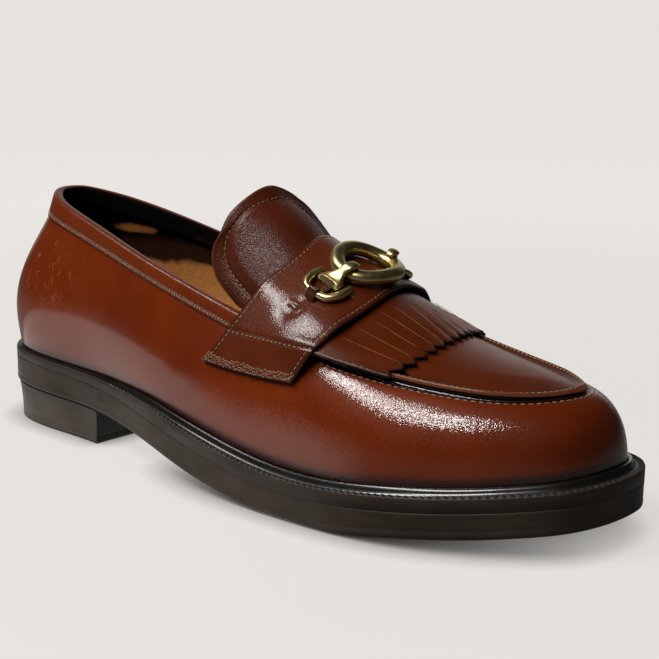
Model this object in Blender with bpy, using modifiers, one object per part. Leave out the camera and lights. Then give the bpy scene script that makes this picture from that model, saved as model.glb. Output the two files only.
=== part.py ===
"""Buckle loafer, right shoe, as an assembly of the pieces that a maker joins.

Tables are in millimetres: x from the back of the heel to the toe, y from the middle line of the heel with the
outer side of the foot negative, z from the floor. The model itself is in metres, with its origin on the floor
under the middle of its box.
"""
import functools
import math

import bmesh
import bpy
import numpy as np

MM = 0.001
GAP = 0.35

SOLE_LENGTH = 300.0
TOE_POINT_Y = 7.0
ORIGIN_X = 150.0
ORIGIN_Y = 1.0

RING_COUNT = 84
THROAT_STEP = 23
WALL_ROWS = 8
APRON_COLUMNS = 12

UPPER_THICKNESS = 1.9
UPPER_SEAT = 0.7
WELT_HEIGHT = 3.6
WELT_BEAD_HEIGHT = 5.6
WELT_BEVEL = 0.9
WELT_EDGE_INSET = 0.3
WELT_LEDGE = 1.2
WELT_BEAD_WIDTH = 1.9
WELT_BEAD_ROUND = 0.7
WELT_HEEL_RISE = 0.4
WELT_HEEL_END = 55.0
WELT_HEEL_BLEND = 70.0
OUTSOLE_LIP = 3.8
OUTSOLE_STEP = 0.7
OUTSOLE_STEP_SLOPE = 0.4
OUTSOLE_TREAD_INSET = 2.2
OUTSOLE_TREAD_BEVEL = 1.2
OUTSOLE_TOP_BEVEL = 0.8
HEEL_BREAST_X = 77.0
HEEL_BREAST_RAKE = 2.0
HEEL_INSET = 0.9
HEEL_TAPER = 1.2
HEEL_STEPS = 16
TOP_LIFT_HEIGHT = 3.0
TOP_LIFT_BEVEL = 0.7
INSOLE_THICKNESS = 3.0
INSOLE_CLEARANCE = 0.8
INSOLE_BEVEL = 0.8
APRON_THICKNESS = 1.5
APRON_REACH = 0.985
APRON_TIP_REACH = 0.8
APRON_TIP_STEP = 0.65
KILTIE_THICKNESS = 1.5
KILTIE_TEETH = 9
KILTIE_TOOTH_DEPTH = 4.6
KILTIE_REACH = 1.03
KILTIE_REAR = 190.0
KILTIE_REAR_BOW = 4.0
KILTIE_FRONT = 224.0
KILTIE_FRONT_BOW = 7.0
STRAP_THICKNESS = 2.2
COLLAR_BAND_THICKNESS = 1.2
COLLAR_BAND_HEIGHT = 10.5
COLLAR_BAND_FALL = 1.5
COLLAR_BAND_END = 150.0
TONGUE_THICKNESS = 3.2


def table(columns, *rows):
    """Columns of a small table as arrays, by name."""
    data = np.array(rows, float)
    return {name: data[:, index] for index, name in enumerate(columns.split())}


# Half-widths of the sole on the outer and inner side of the heel's middle line.
OUTLINE = table(
    "x outer inner",
    (4, 15.5, 14.5),
    (18, 27.5, 25.5),
    (45, 32.6, 31.2),
    (77, 35.2, 32.2),
    (110, 42.4, 31.8),
    (145, 49.0, 35.5),
    (180, 51.8, 44.5),
    (210, 52.2, 52.0),
    (235, 49.6, 54.3),
    (258, 41.8, 50.8),
    (278, 30.8, 40.2),
    (291, 20.8, 29.2),
    (298, 7.0, 17.6),
)

# Heights along the shoe: underside and top of the outsole. Below zero the underside is cut flat on the floor.
HEIGHTS = table(
    "x bottom top",
    (0, 16.7, 29.4),
    (40, 16.0, 27.6),
    (77, 14.8, 25.6),
    (110, 11.8, 22.2),
    (145, 5.2, 16.2),
    (175, 0.7, 11.2),
    (197, -0.8, 9.8),
    (215, -0.1, 10.4),
    (235, 2.4, 12.2),
    (265, 5.6, 15.2),
    (300, 10.8, 20.2),
)

# Distance of the feather line, where upper and welt meet, inside the sole's edge.
FEATHER = table("x inset", (0, 2.4), (60, 2.6), (100, 4.0), (145, 6.0), (200, 6.4), (300, 6.2))

# Sections of the upper's wall. Each stands on the sole's edge at foot and ends on the top line (x, y, z), which
# is the collar behind the throat and the apron seam before it. Round goes from a straight wall to a full quarter
# round, and swell is how far the wall stands out above the feather line.
HEEL_SECTION = (0, 23.4, 0.0, 103.4, 0.0, 8.8)
TOE_SECTION = (SOLE_LENGTH, 278.5, 6.5, 50.0, 1.0, 1.2)
SECTION_COLUMNS = "foot x y z round swell"
OUTER_SECTIONS = table(
    SECTION_COLUMNS,
    (6, 25.4, -8.2, 102.8, 0.0, 8.4),
    (20, 31.8, -14.6, 100.8, 0.05, 7.0),
    (45, 45.0, -20.2, 97.2, 0.1, 5.0),
    (80, 73.0, -25.4, 89.8, 0.15, 4.4),
    (115, 105.0, -29.6, 80.8, 0.2, 3.8),
    (150, 142.0, -31.6, 70.6, 0.25, 3.2),
    (172, 165.0, -32.4, 64.4, 0.35, 3.0),
    (190, 183.0, -34.2, 60.2, 0.5, 3.0),
    (212, 204.0, -34.6, 55.8, 0.7, 3.0),
    (238, 228.0, -30.2, 51.6, 0.85, 2.4),
    (260, 248.0, -24.8, 49.6, 0.95, 1.8),
    (278, 263.0, -17.2, 48.8, 1.0, 1.4),
    (292, 273.8, -6.6, 49.2, 1.0, 1.2),
)
INNER_SECTIONS = table(
    SECTION_COLUMNS,
    (6, 25.4, 8.2, 102.8, 0.0, 8.4),
    (20, 31.8, 14.6, 100.8, 0.05, 7.0),
    (45, 45.0, 20.2, 97.6, 0.1, 5.0),
    (80, 73.0, 25.4, 90.6, 0.15, 4.4),
    (115, 105.0, 29.6, 81.8, 0.2, 3.8),
    (150, 142.0, 31.8, 72.0, 0.25, 3.2),
    (172, 165.0, 33.0, 66.2, 0.35, 3.0),
    (190, 183.0, 35.6, 62.4, 0.5, 3.0),
    (212, 204.0, 36.0, 57.6, 0.7, 3.0),
    (238, 228.0, 32.8, 53.4, 0.85, 2.4),
    (260, 248.0, 28.0, 51.2, 0.95, 1.8),
    (278, 263.0, 22.2, 50.2, 1.0, 1.4),
    (292, 273.5, 15.6, 50.0, 1.0, 1.2),
)

# Rise of the instep over the line between the two sides of the top line, and how far its middle runs forward.
CROWN = table(
    "x rise bow",
    (130, 25.0, 16.0),
    (165, 20.0, 14.0),
    (182, 16.0, 10.0),
    (202, 11.4, 6.0),
    (222, 7.8, 2.5),
    (242, 5.6, 0.5),
    (262, 3.4, 0.0),
    (274, 1.4, 0.0),
    (280, 0.0, 0.0),
)
CROWN_SKEW = 0.05
SWELL_PEAK = 3.0 / 7.0

# The tongue's middle line from the throat to its upper edge, with half its width there.
TONGUE = table(
    "along x z half_width",
    (0.0, 178.0, 80.6, 25.5),
    (0.2, 170.0, 85.4, 26.4),
    (0.5, 159.0, 95.4, 27.8),
    (0.75, 151.0, 103.6, 26.0),
    (0.9, 147.0, 108.2, 19.0),
    (1.0, 144.4, 111.0, 6.0),
)
TONGUE_MIDDLE_Y = 0.6
TONGUE_ARCH = 0.0245
TONGUE_SKEW = 0.43
TONGUE_TUCK = 0.05
TONGUE_TUCK_DEPTH = 4.2
TONGUE_TUCK_WIDTH = 0.76
TONGUE_TUCK_END = 0.08
TONGUE_BLEND_START = 0.06
TONGUE_BLEND_LENGTH = 0.24
TONGUE_ROWS = (0.0, 0.08, 0.15, 0.22, 0.32, 0.45, 0.58, 0.7, 0.8, 0.88, 0.94, 0.98, 1.0)
TONGUE_COLUMNS = 11

# Edges of the saddle strap along the shoe, from its outer end over the instep to its inner end.
STRAP_EDGES = table(
    "girth rear front",
    (0.0, 149.0, 192.0),
    (0.12, 155.5, 196.8),
    (0.22, 159.5, 199.5),
    (0.32, 165.5, 202.0),
    (0.42, 170.5, 202.4),
    (0.5, 171.5, 200.5),
    (0.58, 170.5, 199.6),
    (0.68, 165.5, 198.6),
    (0.78, 159.5, 196.8),
    (0.88, 155.5, 194.8),
    (1.0, 149.0, 191.0),
)
STRAP_WALL_GIRTH = 0.22
STRAP_END_SHARE = 0.6
STRAP_COLUMNS = 27
STRAP_ROWS = 7
STRAP_LIFT_REAR = 2.4
STRAP_LIFT_FRONT = 4.7
STRAP_RAMP_GIRTH = 0.2
STRAP_LIFT_WALL = 0.6

# The buckle: an oval link between two stirrups, each with a T-shaped bar that hooks over the link's end. Across
# is measured over the instep and along is measured towards the toe, from the middle of the piece.
BUCKLE_SHARE = 0.52
LINK_GIRTH = 0.505
LINK_HALF_ACROSS = 13.8
LINK_HALF_ALONG = 10.4
LINK_WIRE = 2.2
LINK_BEND = 1.9
LINK_POINTS = 26
BAR_GIRTH_STEP = 0.133
STIRRUP = table(
    "across along wire",
    (3.4, 7.3, 0.9),
    (0.6, 7.9, 1.35),
    (-3.2, 7.7, 1.5),
    (-6.0, 6.4, 1.45),
    (-7.6, 4.2, 1.3),
    (-8.2, 0.0, 1.25),
)
STIRRUP_POINTS = 9

# Sections of the T-shaped bar along its run from the stirrup (0) to its end over the link (1).
BAR_SECTIONS = table(
    "run width depth",
    (0.0, 9.6, 0.8),
    (0.06, 10.6, 3.2),
    (0.16, 10.8, 4.6),
    (0.27, 10.4, 3.8),
    (0.36, 7.0, 2.6),
    (0.48, 5.2, 2.0),
    (0.66, 5.4, 1.8),
    (0.84, 6.0, 1.8),
    (0.95, 4.8, 1.5),
    (1.0, 2.6, 0.8),
)
BAR_CORNERS = 8
BAR_SQUARENESS = 0.7
BAR_KNOTS = (0.0, 0.16, 0.42, 0.62, 0.82, 1.0)
BAR_HOOK = 3.9
BAR_HOOK_TURNS = (150.0, 115.0, 80.0, 45.0)

MATERIALS = {
    "upper": ((0.17, 0.030, 0.012), 0.32, 0.0),
    "dark_leather": ((0.085, 0.020, 0.010), 0.38, 0.0),
    "apron_leather": ((0.13, 0.026, 0.011), 0.34, 0.0),
    "welt": ((0.012, 0.010, 0.010), 0.35, 0.0),
    "sole": ((0.028, 0.018, 0.014), 0.55, 0.0),
    "rubber": ((0.010, 0.009, 0.009), 0.6, 0.0),
    "insole": ((0.48, 0.25, 0.11), 0.6, 0.0),
    "brass": ((0.72, 0.53, 0.24), 0.22, 1.0),
}


# Curves


def spline(knots, values, at):
    """Natural cubic spline through rows of values."""
    knots = np.asarray(knots, float)
    values = np.asarray(values, float)
    flat = values.ndim == 1
    values = values.reshape(len(knots), -1)
    step = np.diff(knots)
    slope = np.diff(values, axis=0) / step[:, None]
    matrix = np.eye(len(knots))
    right = np.zeros_like(values)
    for row in range(1, len(knots) - 1):
        matrix[row, row - 1] = step[row - 1]
        matrix[row, row] = 2.0 * (step[row - 1] + step[row])
        matrix[row, row + 1] = step[row]
        right[row] = 6.0 * (slope[row] - slope[row - 1])
    bend = np.linalg.solve(matrix, right)
    at = np.asarray(at, float)
    shape = at.shape
    at = np.clip(at.ravel(), knots[0], knots[-1])
    cell = np.clip(np.searchsorted(knots, at) - 1, 0, len(knots) - 2)
    width = step[cell][:, None]
    before = (at - knots[cell])[:, None]
    after = width - before
    result = bend[cell] * after**3 + bend[cell + 1] * before**3
    result = result / (6.0 * width)
    result += (values[cell] / width - bend[cell] * width / 6.0) * after
    result += (values[cell + 1] / width - bend[cell + 1] * width / 6.0) * before
    return result.reshape(shape) if flat else result.reshape(shape + (-1,))


def loop_spline(knots, values, at):
    """Closed smooth curve through rows of values round a full turn."""
    turn = 2.0 * math.pi
    lap = np.concatenate([knots - turn, knots, knots + turn])
    return spline(lap, np.concatenate([values] * 3), np.mod(at, turn))


def turn_at(x):
    """Angle round the sole's outline, from the heel, that stands at x on the outer side."""
    return np.arccos(1.0 - 2.0 * np.asarray(x, float) / SOLE_LENGTH)


def both_sides(outer_x, inner_x):
    """Angles of a loop that goes out along the outer side and back along the inner side."""
    inner = 2.0 * math.pi - turn_at(inner_x)[::-1]
    return np.concatenate([[0.0], turn_at(outer_x), [math.pi], inner])


def smooth_step(value):
    """Soft ramp from 0 to 1."""
    value = np.clip(value, 0.0, 1.0)
    return value * value * (3.0 - 2.0 * value)


RING = np.arange(RING_COUNT) * 2.0 * math.pi / RING_COUNT
THROAT_ANGLE = RING[THROAT_STEP]


# The last: the functions that every leather piece is cut from


def outline(angle):
    """Edge of the sole in plan."""
    side_x = OUTLINE["x"]
    x = np.concatenate([[0.0], side_x, [SOLE_LENGTH], side_x[::-1]])
    y = np.concatenate([[0.0], -OUTLINE["outer"], [TOE_POINT_Y], OUTLINE["inner"][::-1]])
    return loop_spline(both_sides(side_x, side_x), np.stack([x, y], -1), angle)


def outward(angle):
    """Unit vector out of the sole's edge in plan."""
    nudge = 0.01
    tangent = outline(np.asarray(angle) + nudge) - outline(np.asarray(angle) - nudge)
    tangent /= np.linalg.norm(tangent, axis=-1, keepdims=True)
    return np.stack([tangent[..., 1], -tangent[..., 0]], -1)


def inset_outline(angle, inset):
    """Edge of the sole moved inwards."""
    return outline(angle) - outward(angle) * np.asarray(inset)[..., None]


def sole_top(x):
    """Height of the outsole's top."""
    return spline(HEIGHTS["x"], HEIGHTS["top"], x)


def sole_bottom(x):
    """Height of the outsole's underside, flat where it meets the floor."""
    return np.maximum(spline(HEIGHTS["x"], HEIGHTS["bottom"], x), 0.0)


def feather_inset(angle):
    """Inset of the feather line."""
    return spline(FEATHER["x"], FEATHER["inset"], outline(angle)[..., 0])


def section_values(angle):
    """Top line, roundness and swell of the wall at an angle."""
    order = SECTION_COLUMNS.split()
    outer = np.stack([OUTER_SECTIONS[name] for name in order], -1)
    inner = np.stack([INNER_SECTIONS[name] for name in order], -1)
    rows = np.concatenate([[HEEL_SECTION], outer, [TOE_SECTION], inner[::-1]])
    knots = both_sides(OUTER_SECTIONS["foot"], INNER_SECTIONS["foot"])
    return loop_spline(knots, rows[:, 1:], angle)


def swell_shape(share):
    """How the wall stands out between feather line and top line."""
    return share**1.5 * (1.0 - share) ** 2


def wall(angle, share):
    """Outer face of the upper's wall, from the feather line (share 0) to the top line (share 1)."""
    angle, share = np.broadcast_arrays(np.asarray(angle, float), np.asarray(share, float))
    foot = inset_outline(angle, feather_inset(angle))
    foot_z = sole_top(foot[..., 0]) + UPPER_SEAT
    values = section_values(angle)
    top, top_z = values[..., :2], values[..., 2]
    roundness = np.clip(values[..., 3], 0.0, 1.0)
    quarter = share * math.pi / 2.0
    run = share + roundness * (1.0 - np.cos(quarter) - share)
    climb = share + roundness * (np.sin(quarter) - share)
    swell = values[..., 4] * swell_shape(share) / swell_shape(SWELL_PEAK)
    plan = foot + (top - foot) * run[..., None] + outward(angle) * swell[..., None]
    return np.concatenate([plan, (foot_z + (top_z - foot_z) * climb)[..., None]], -1)


def instep(angle, across):
    """Top of the upper between the two sides of the top line; across goes from -1, outer, to 1, inner."""
    angle, across = np.broadcast_arrays(np.asarray(angle, float), np.asarray(across, float))
    outer = wall(angle, 1.0)
    inner = wall(2.0 * math.pi - angle, 1.0)
    share = (across[..., None] + 1.0) / 2.0
    point = outer + (inner - outer) * share
    arch = 1.0 - across**2
    middle = (outer[..., 0] + inner[..., 0]) / 2.0
    point[..., 0] += spline(CROWN["x"], CROWN["bow"], middle) * arch
    rise = spline(CROWN["x"], CROWN["rise"], point[..., 0])
    point[..., 2] += rise * arch * (1.0 + CROWN_SKEW * across)
    return point


def grid_normals(points):
    """Unit normals of a grid of points, on the side that the shoe's outside is on."""
    along = np.gradient(points, axis=0)
    across = np.gradient(points, axis=1)
    normal = np.cross(along, across)
    length = np.linalg.norm(normal, axis=-1, keepdims=True)
    normal = normal / np.maximum(length, 1e-9)
    middle = np.array([outline(THROAT_ANGLE)[0], 0.0, sole_top(SOLE_LENGTH / 2.0)])
    facing = np.sum(normal * (points - middle))
    return normal if facing > 0.0 else -normal


def lifted(points, lift):
    """Grid of points moved off the surface that it lies on."""
    return points + grid_normals(points) * np.asarray(lift)[..., None]


# Mesh helpers


def reset_scene():
    """Remove what the scene holds and make the object's collection."""
    for item in list(bpy.data.objects):
        bpy.data.objects.remove(item, do_unlink=True)
    collection = bpy.data.collections.new("buckle_loafer")
    bpy.context.scene.collection.children.link(collection)
    return collection


def make_material(name):
    """Principled material with the piece's colour, roughness and metallic value."""
    colour, roughness, metallic = MATERIALS[name]
    material = bpy.data.materials.get(name) or bpy.data.materials.new(name)
    material.use_nodes = True
    shader = material.node_tree.nodes["Principled BSDF"]
    shader.inputs["Base Color"].default_value = (*colour, 1.0)
    shader.inputs["Roughness"].default_value = roughness
    shader.inputs["Metallic"].default_value = metallic
    material.diffuse_color = (*colour, 1.0)
    return material


def to_model(point):
    """Point of the tables in the model's own frame."""
    return ((point[0] - ORIGIN_X) * MM, (point[1] - ORIGIN_Y) * MM, point[2] * MM)


def add_grid(mesh, points, wrap=False):
    """Lay a grid of points into a mesh as a sheet, closed round its columns where wrap is set."""
    rows, columns = points.shape[:2]
    if wrap:
        points = np.concatenate([points, points[:, :1]], axis=1)
        columns += 1
    made = bmesh.ops.create_grid(mesh, x_segments=columns - 1, y_segments=rows - 1, size=0.5)
    for vert in made["verts"]:
        column = round((vert.co.x + 0.5) * (columns - 1))
        row = round((vert.co.y + 0.5) * (rows - 1))
        vert.co = to_model(points[row, column])


def close_mesh(mesh):
    """Join what meets, and drop what has no area."""
    bmesh.ops.remove_doubles(mesh, verts=mesh.verts, dist=0.00002)
    bmesh.ops.dissolve_degenerate(mesh, edges=mesh.edges, dist=0.000005)
    bmesh.ops.recalc_face_normals(mesh, faces=mesh.faces)


def finish(mesh, name, material, collection):
    """Object of a finished mesh."""
    data = bpy.data.meshes.new(name)
    mesh.to_mesh(data)
    mesh.free()
    item = bpy.data.objects.new(name, data)
    item.data.materials.append(make_material(material))
    item.data.shade_smooth()
    collection.objects.link(item)
    return item


def face_out(mesh):
    """Turn an open sheet so that its faces look away from the inside of the shoe."""
    inside = np.array(to_model((SOLE_LENGTH / 2.0, 0.0, 30.0)))
    facing = sum(np.dot(face.normal, np.array(face.calc_center_median()) - inside) for face in mesh.faces)
    if facing < 0.0:
        bmesh.ops.reverse_faces(mesh, faces=mesh.faces)


def shell(name, grids, thickness, material, collection, wrap=False, outward_wall=True):
    """Leather piece: sheets of points joined and given a wall of even thickness."""
    mesh = bmesh.new()
    for points in grids:
        add_grid(mesh, points, wrap and points is grids[0])
    close_mesh(mesh)
    face_out(mesh)
    item = finish(mesh, name, material, collection)
    solid = item.modifiers.new("thickness", "SOLIDIFY")
    solid.thickness = thickness * MM
    solid.offset = 1.0 if outward_wall else -1.0
    solid.use_even_offset = True
    return item


def loft(name, rings, material, collection):
    """Solid through closed rings from bottom to top; its ends are closed by cross strips."""
    mesh = bmesh.new()
    loops = [[mesh.verts.new(to_model(point)) for point in ring] for ring in rings]
    count = len(loops[0])
    for lower, upper in zip(loops, loops[1:]):
        for index in range(count):
            after = (index + 1) % count
            mesh.faces.new((lower[index], lower[after], upper[after], upper[index]))
    for loop in (loops[0], loops[-1]):
        for index in range(count // 2):
            mate = (count - index) % count
            corners = [loop[index], loop[index + 1], loop[count - index - 1], loop[mate]]
            mesh.faces.new(list(dict.fromkeys(corners)))
    close_mesh(mesh)
    return finish(mesh, name, material, collection)


def with_height(plan, height):
    """Plan points raised to their heights."""
    return np.concatenate([plan, np.asarray(height)[..., None]], -1)


# Sole


def build_outsole(collection):
    """Outsole with arch, toe spring and a step along its side."""
    base = outline(RING)[:, 0]
    bottom, top = sole_bottom(base), sole_top(base)
    lip = bottom + OUTSOLE_LIP
    levels = (
        (OUTSOLE_TREAD_INSET, bottom),
        (OUTSOLE_STEP, bottom + OUTSOLE_TREAD_BEVEL),
        (OUTSOLE_STEP, lip - OUTSOLE_STEP_SLOPE),
        (0.0, lip + OUTSOLE_STEP_SLOPE),
        (0.0, top - OUTSOLE_TOP_BEVEL),
        (OUTSOLE_TOP_BEVEL, top),
    )
    rings = [with_height(inset_outline(RING, np.full(RING_COUNT, inset)), level) for inset, level in levels]
    return loft("outsole", rings, "sole", collection)


def build_welt(collection):
    """Welt round the upper's foot, with a raised bead against the leather."""
    base = outline(RING)[:, 0]
    seat = sole_top(base)
    out = outward(RING)
    heel = 1.0 - smooth_step((base - WELT_HEEL_END) / WELT_HEEL_BLEND)
    height = WELT_BEAD_HEIGHT - (WELT_BEAD_HEIGHT - WELT_HEIGHT - WELT_HEEL_RISE) * heel
    foot = wall(RING, 0.0)[:, :2] + out * GAP
    climb = np.linspace(0.0, 0.3, 25)
    faces = wall(RING[:, None], climb[None, :])
    reach = np.stack([np.interp(seat[k] + height[k], faces[k, :, 2], climb) for k in range(RING_COUNT)])
    face = wall(RING, reach)[:, :2] + out * (GAP + 0.1)
    bead = np.clip(np.sum((outline(RING) - foot) * out, -1) - WELT_BEAD_WIDTH - WELT_BEAD_ROUND, 0.15, 2.2)
    room = np.maximum(np.sum((outline(RING) - face) * out, -1), 0.6)
    ledge = np.minimum(room, bead + WELT_LEDGE)[:, None]
    lower_edge = inset_outline(RING, np.full(RING_COUNT, WELT_EDGE_INSET))
    upper_edge = inset_outline(RING, np.full(RING_COUNT, WELT_EDGE_INSET / 3.0))
    profile = (
        with_height(foot, seat + GAP),
        with_height(lower_edge, seat + GAP),
        with_height(upper_edge, seat + WELT_HEIGHT - WELT_BEVEL),
        with_height(face + out * ledge, seat + WELT_HEIGHT),
        with_height(face + out * np.minimum(ledge * 0.75, WELT_BEAD_WIDTH), seat + height - WELT_BEAD_ROUND),
        with_height(face + out * np.minimum(ledge * 0.35, WELT_BEAD_WIDTH * 0.4), seat + height),
        with_height(face, seat + height - WELT_BEAD_ROUND * 0.7),
    )
    mesh = bmesh.new()
    points = np.stack(profile + (profile[0],))
    add_grid(mesh, points, wrap=True)
    close_mesh(mesh)
    return finish(mesh, "welt", "welt", collection)


def heel_plan(inset, breast_x):
    """Plan of the heel: the sole's outline cut straight at the breast."""
    last = turn_at(breast_x)
    half = np.linspace(0.0, last, HEEL_STEPS)
    angles = np.concatenate([half, 2.0 * math.pi - half[:0:-1]])
    return inset_outline(angles, np.full(len(angles), inset))


def build_heel(collection):
    """Heel block under the seat of the outsole."""
    top_plan = heel_plan(HEEL_INSET, HEEL_BREAST_X)
    low_plan = heel_plan(HEEL_INSET + HEEL_TAPER, HEEL_BREAST_X - HEEL_BREAST_RAKE)
    top = sole_bottom(top_plan[:, 0]) - GAP
    low = np.full(len(low_plan), TOP_LIFT_HEIGHT + GAP)
    return loft("heel_block", [with_height(low_plan, low), with_height(top_plan, top)], "sole", collection)


def build_top_lift(collection):
    """Thin rubber lift that the heel stands on."""
    breast = HEEL_BREAST_X - HEEL_BREAST_RAKE
    plan = heel_plan(HEEL_INSET + HEEL_TAPER, breast)
    edge = heel_plan(HEEL_INSET + HEEL_TAPER + TOP_LIFT_BEVEL, breast - TOP_LIFT_BEVEL)
    flat = np.ones(len(plan))
    rings = [
        with_height(edge, 0.0 * flat),
        with_height(plan, TOP_LIFT_BEVEL * flat),
        with_height(plan, TOP_LIFT_HEIGHT * flat),
    ]
    return loft("heel_top_lift", rings, "rubber", collection)


def build_insole(collection):
    """Insole inside the foot of the upper."""
    inset = feather_inset(RING) + UPPER_THICKNESS + INSOLE_CLEARANCE
    plan = inset_outline(RING, inset)
    seat = sole_top(plan[:, 0]) + GAP
    soft = inset_outline(RING, inset + INSOLE_BEVEL)
    rings = [
        with_height(plan, seat),
        with_height(plan, seat + INSOLE_THICKNESS - INSOLE_BEVEL),
        with_height(soft, seat + INSOLE_THICKNESS),
    ]
    return loft("insole", rings, "insole", collection)


# Leather


def build_upper(collection):
    """Upper: one hollow wall on the last, open at the collar and underneath."""
    shares = np.linspace(0.0, 1.0, WALL_ROWS + 1)
    side = wall(RING[None, :], shares[:, None])
    chords = RING[THROAT_STEP : RING_COUNT // 2 + 1]
    across = np.linspace(-1.0, 1.0, APRON_COLUMNS + 1)
    top = instep(chords[:, None], across[None, :])
    grids = [side, top]
    return shell("upper", grids, UPPER_THICKNESS, "upper", collection, wrap=True, outward_wall=False)


def build_apron(collection):
    """Apron plate inside the raised seam."""
    chords = RING[THROAT_STEP : RING_COUNT // 2 + 1]
    across = np.linspace(-1.0, 1.0, APRON_COLUMNS + 1)
    points = instep(chords[:-1, None], across[None, :] * APRON_REACH)
    tip_chord = chords[-2] + (chords[-1] - chords[-2]) * APRON_TIP_STEP
    tip = instep(np.full((1, 1), tip_chord), across[None, :] * APRON_TIP_REACH)
    points = lifted(np.concatenate([points, tip]), np.full((len(chords), APRON_COLUMNS + 1), GAP))
    return shell("apron", [points], APRON_THICKNESS, "apron_leather", collection)


def angle_for_x(surface, x, first=115.0, last=245.0):
    """Angle at which a curve of the upper crosses x."""
    angles = np.linspace(turn_at(first), turn_at(last), 120)
    return np.interp(x, surface(angles)[..., 0], angles)


def on_instep(x, across):
    """Point of the instep over x."""
    return instep(angle_for_x(lambda angle: instep(angle, across), x), across)


def build_kiltie(collection):
    """Kiltie over the apron, with a pinked front edge."""
    columns = 2 * KILTIE_TEETH
    across = np.linspace(-KILTIE_REACH, KILTIE_REACH, columns + 1)
    rear = KILTIE_REAR + KILTIE_REAR_BOW * (1.0 - across**2)
    front = KILTIE_FRONT + KILTIE_FRONT_BOW * (1.0 - across**2)
    tooth = np.where(np.arange(columns + 1) % 2 == 0, 0.0, -KILTIE_TOOTH_DEPTH)
    rows = []
    for share in (0.0, 0.25, 0.5, 0.75, 1.0):
        x = rear + (front - rear) * share + (tooth if share == 1.0 else 0.0)
        rows.append([on_instep(x[k], across[k]) for k in range(columns + 1)])
    points = np.array(rows)
    flat = lifted(points, np.full(points.shape[:2], APRON_THICKNESS + 2.0 * GAP))
    return shell("kiltie", [flat], KILTIE_THICKNESS, "apron_leather", collection)


def on_girth(x, girth):
    """Point of the upper over x: up the outer wall, over the instep and down the inner wall."""
    if STRAP_WALL_GIRTH <= girth <= 1.0 - STRAP_WALL_GIRTH:
        across = 2.0 * (girth - STRAP_WALL_GIRTH) / (1.0 - 2.0 * STRAP_WALL_GIRTH) - 1.0
        return on_instep(x, across)
    inner = girth > 0.5
    share = min(girth, 1.0 - girth) / STRAP_WALL_GIRTH
    share = STRAP_END_SHARE + (1.0 - STRAP_END_SHARE) * share

    def curve(angle):
        return wall(2.0 * math.pi - angle if inner else angle, share)

    angle = angle_for_x(curve, x)
    return wall(2.0 * math.pi - angle if inner else angle, share)


@functools.lru_cache(maxsize=None)
def strap_points(extra):
    """Grid of the strap's underside, moved off by extra: rows from its rear to its front edge."""
    girths = np.linspace(0.0, 1.0, STRAP_COLUMNS)
    shares = np.linspace(0.0, 1.0, STRAP_ROWS)
    rear = spline(STRAP_EDGES["girth"], STRAP_EDGES["rear"], girths)
    front = spline(STRAP_EDGES["girth"], STRAP_EDGES["front"], girths)
    rows = []
    for share in shares:
        line = rear + (front - rear) * share
        rows.append([on_girth(x, girth) for x, girth in zip(line, girths)])
    top = smooth_step(np.minimum(girths, 1.0 - girths) / STRAP_RAMP_GIRTH)
    over = STRAP_LIFT_REAR + (STRAP_LIFT_FRONT - STRAP_LIFT_REAR) * smooth_step(shares)[:, None]
    lift = STRAP_LIFT_WALL + (over - STRAP_LIFT_WALL) * top[None, :]
    return lifted(np.array(rows), lift + extra)


def build_strap(collection):
    """Saddle strap over the instep, its tabs on the two walls."""
    return shell("saddle_strap", [strap_points(0.0)], STRAP_THICKNESS, "dark_leather", collection)


def build_collar_band(collection):
    """Band round the collar, from the top line down to its double seam."""
    last = THROAT_STEP - 1
    angles = np.concatenate([RING[RING_COUNT - last :], RING[: last + 1]])
    height = COLLAR_BAND_HEIGHT - COLLAR_BAND_FALL * smooth_step(outline(angles)[:, 0] / COLLAR_BAND_END)
    top = wall(angles, 1.0)
    foot = wall(angles, 0.0)
    shares = 1.0 - height / (top[:, 2] - foot[:, 2])
    points = np.stack([wall(angles, shares + (1.0 - shares) * part) for part in (0.0, 0.5, 1.0)])
    flat = lifted(points, np.full(points.shape[:2], GAP))
    return shell("collar_band", [flat], COLLAR_BAND_THICKNESS, "upper", collection)


def tongue_point(along, across):
    """Outer face of the tongue: an arched strip that rises back from the throat."""
    values = np.stack([TONGUE["x"], TONGUE["z"], TONGUE["half_width"]], -1)
    x, z, half = spline(TONGUE["along"], values, along)
    ahead = spline(TONGUE["along"], values, min(along + 0.02, 1.0))
    behind = spline(TONGUE["along"], values, max(along - 0.02, 0.0))
    slope = math.atan2(ahead[1] - behind[1], behind[0] - ahead[0])
    side = across * half
    drop = TONGUE_ARCH * side * side * (1.0 - TONGUE_SKEW * across)
    arch = np.array([x - math.sin(slope) * drop, TONGUE_MIDDLE_Y + side, z - math.cos(slope) * drop])
    tuck = instep(THROAT_ANGLE + TONGUE_TUCK * (1.0 - along / TONGUE_TUCK_END), across * TONGUE_TUCK_WIDTH)
    tuck[2] -= TONGUE_TUCK_DEPTH
    share = smooth_step((along - TONGUE_BLEND_START) / TONGUE_BLEND_LENGTH)
    return tuck * (1.0 - share) + arch * share


def build_tongue(collection):
    """Tongue that stands behind the strap."""
    columns = np.linspace(-1.0, 1.0, TONGUE_COLUMNS)
    points = np.array([[tongue_point(along, across) for across in columns] for along in TONGUE_ROWS])
    return shell("tongue", [points], TONGUE_THICKNESS, "dark_leather", collection, outward_wall=False)


# Buckle


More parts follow.
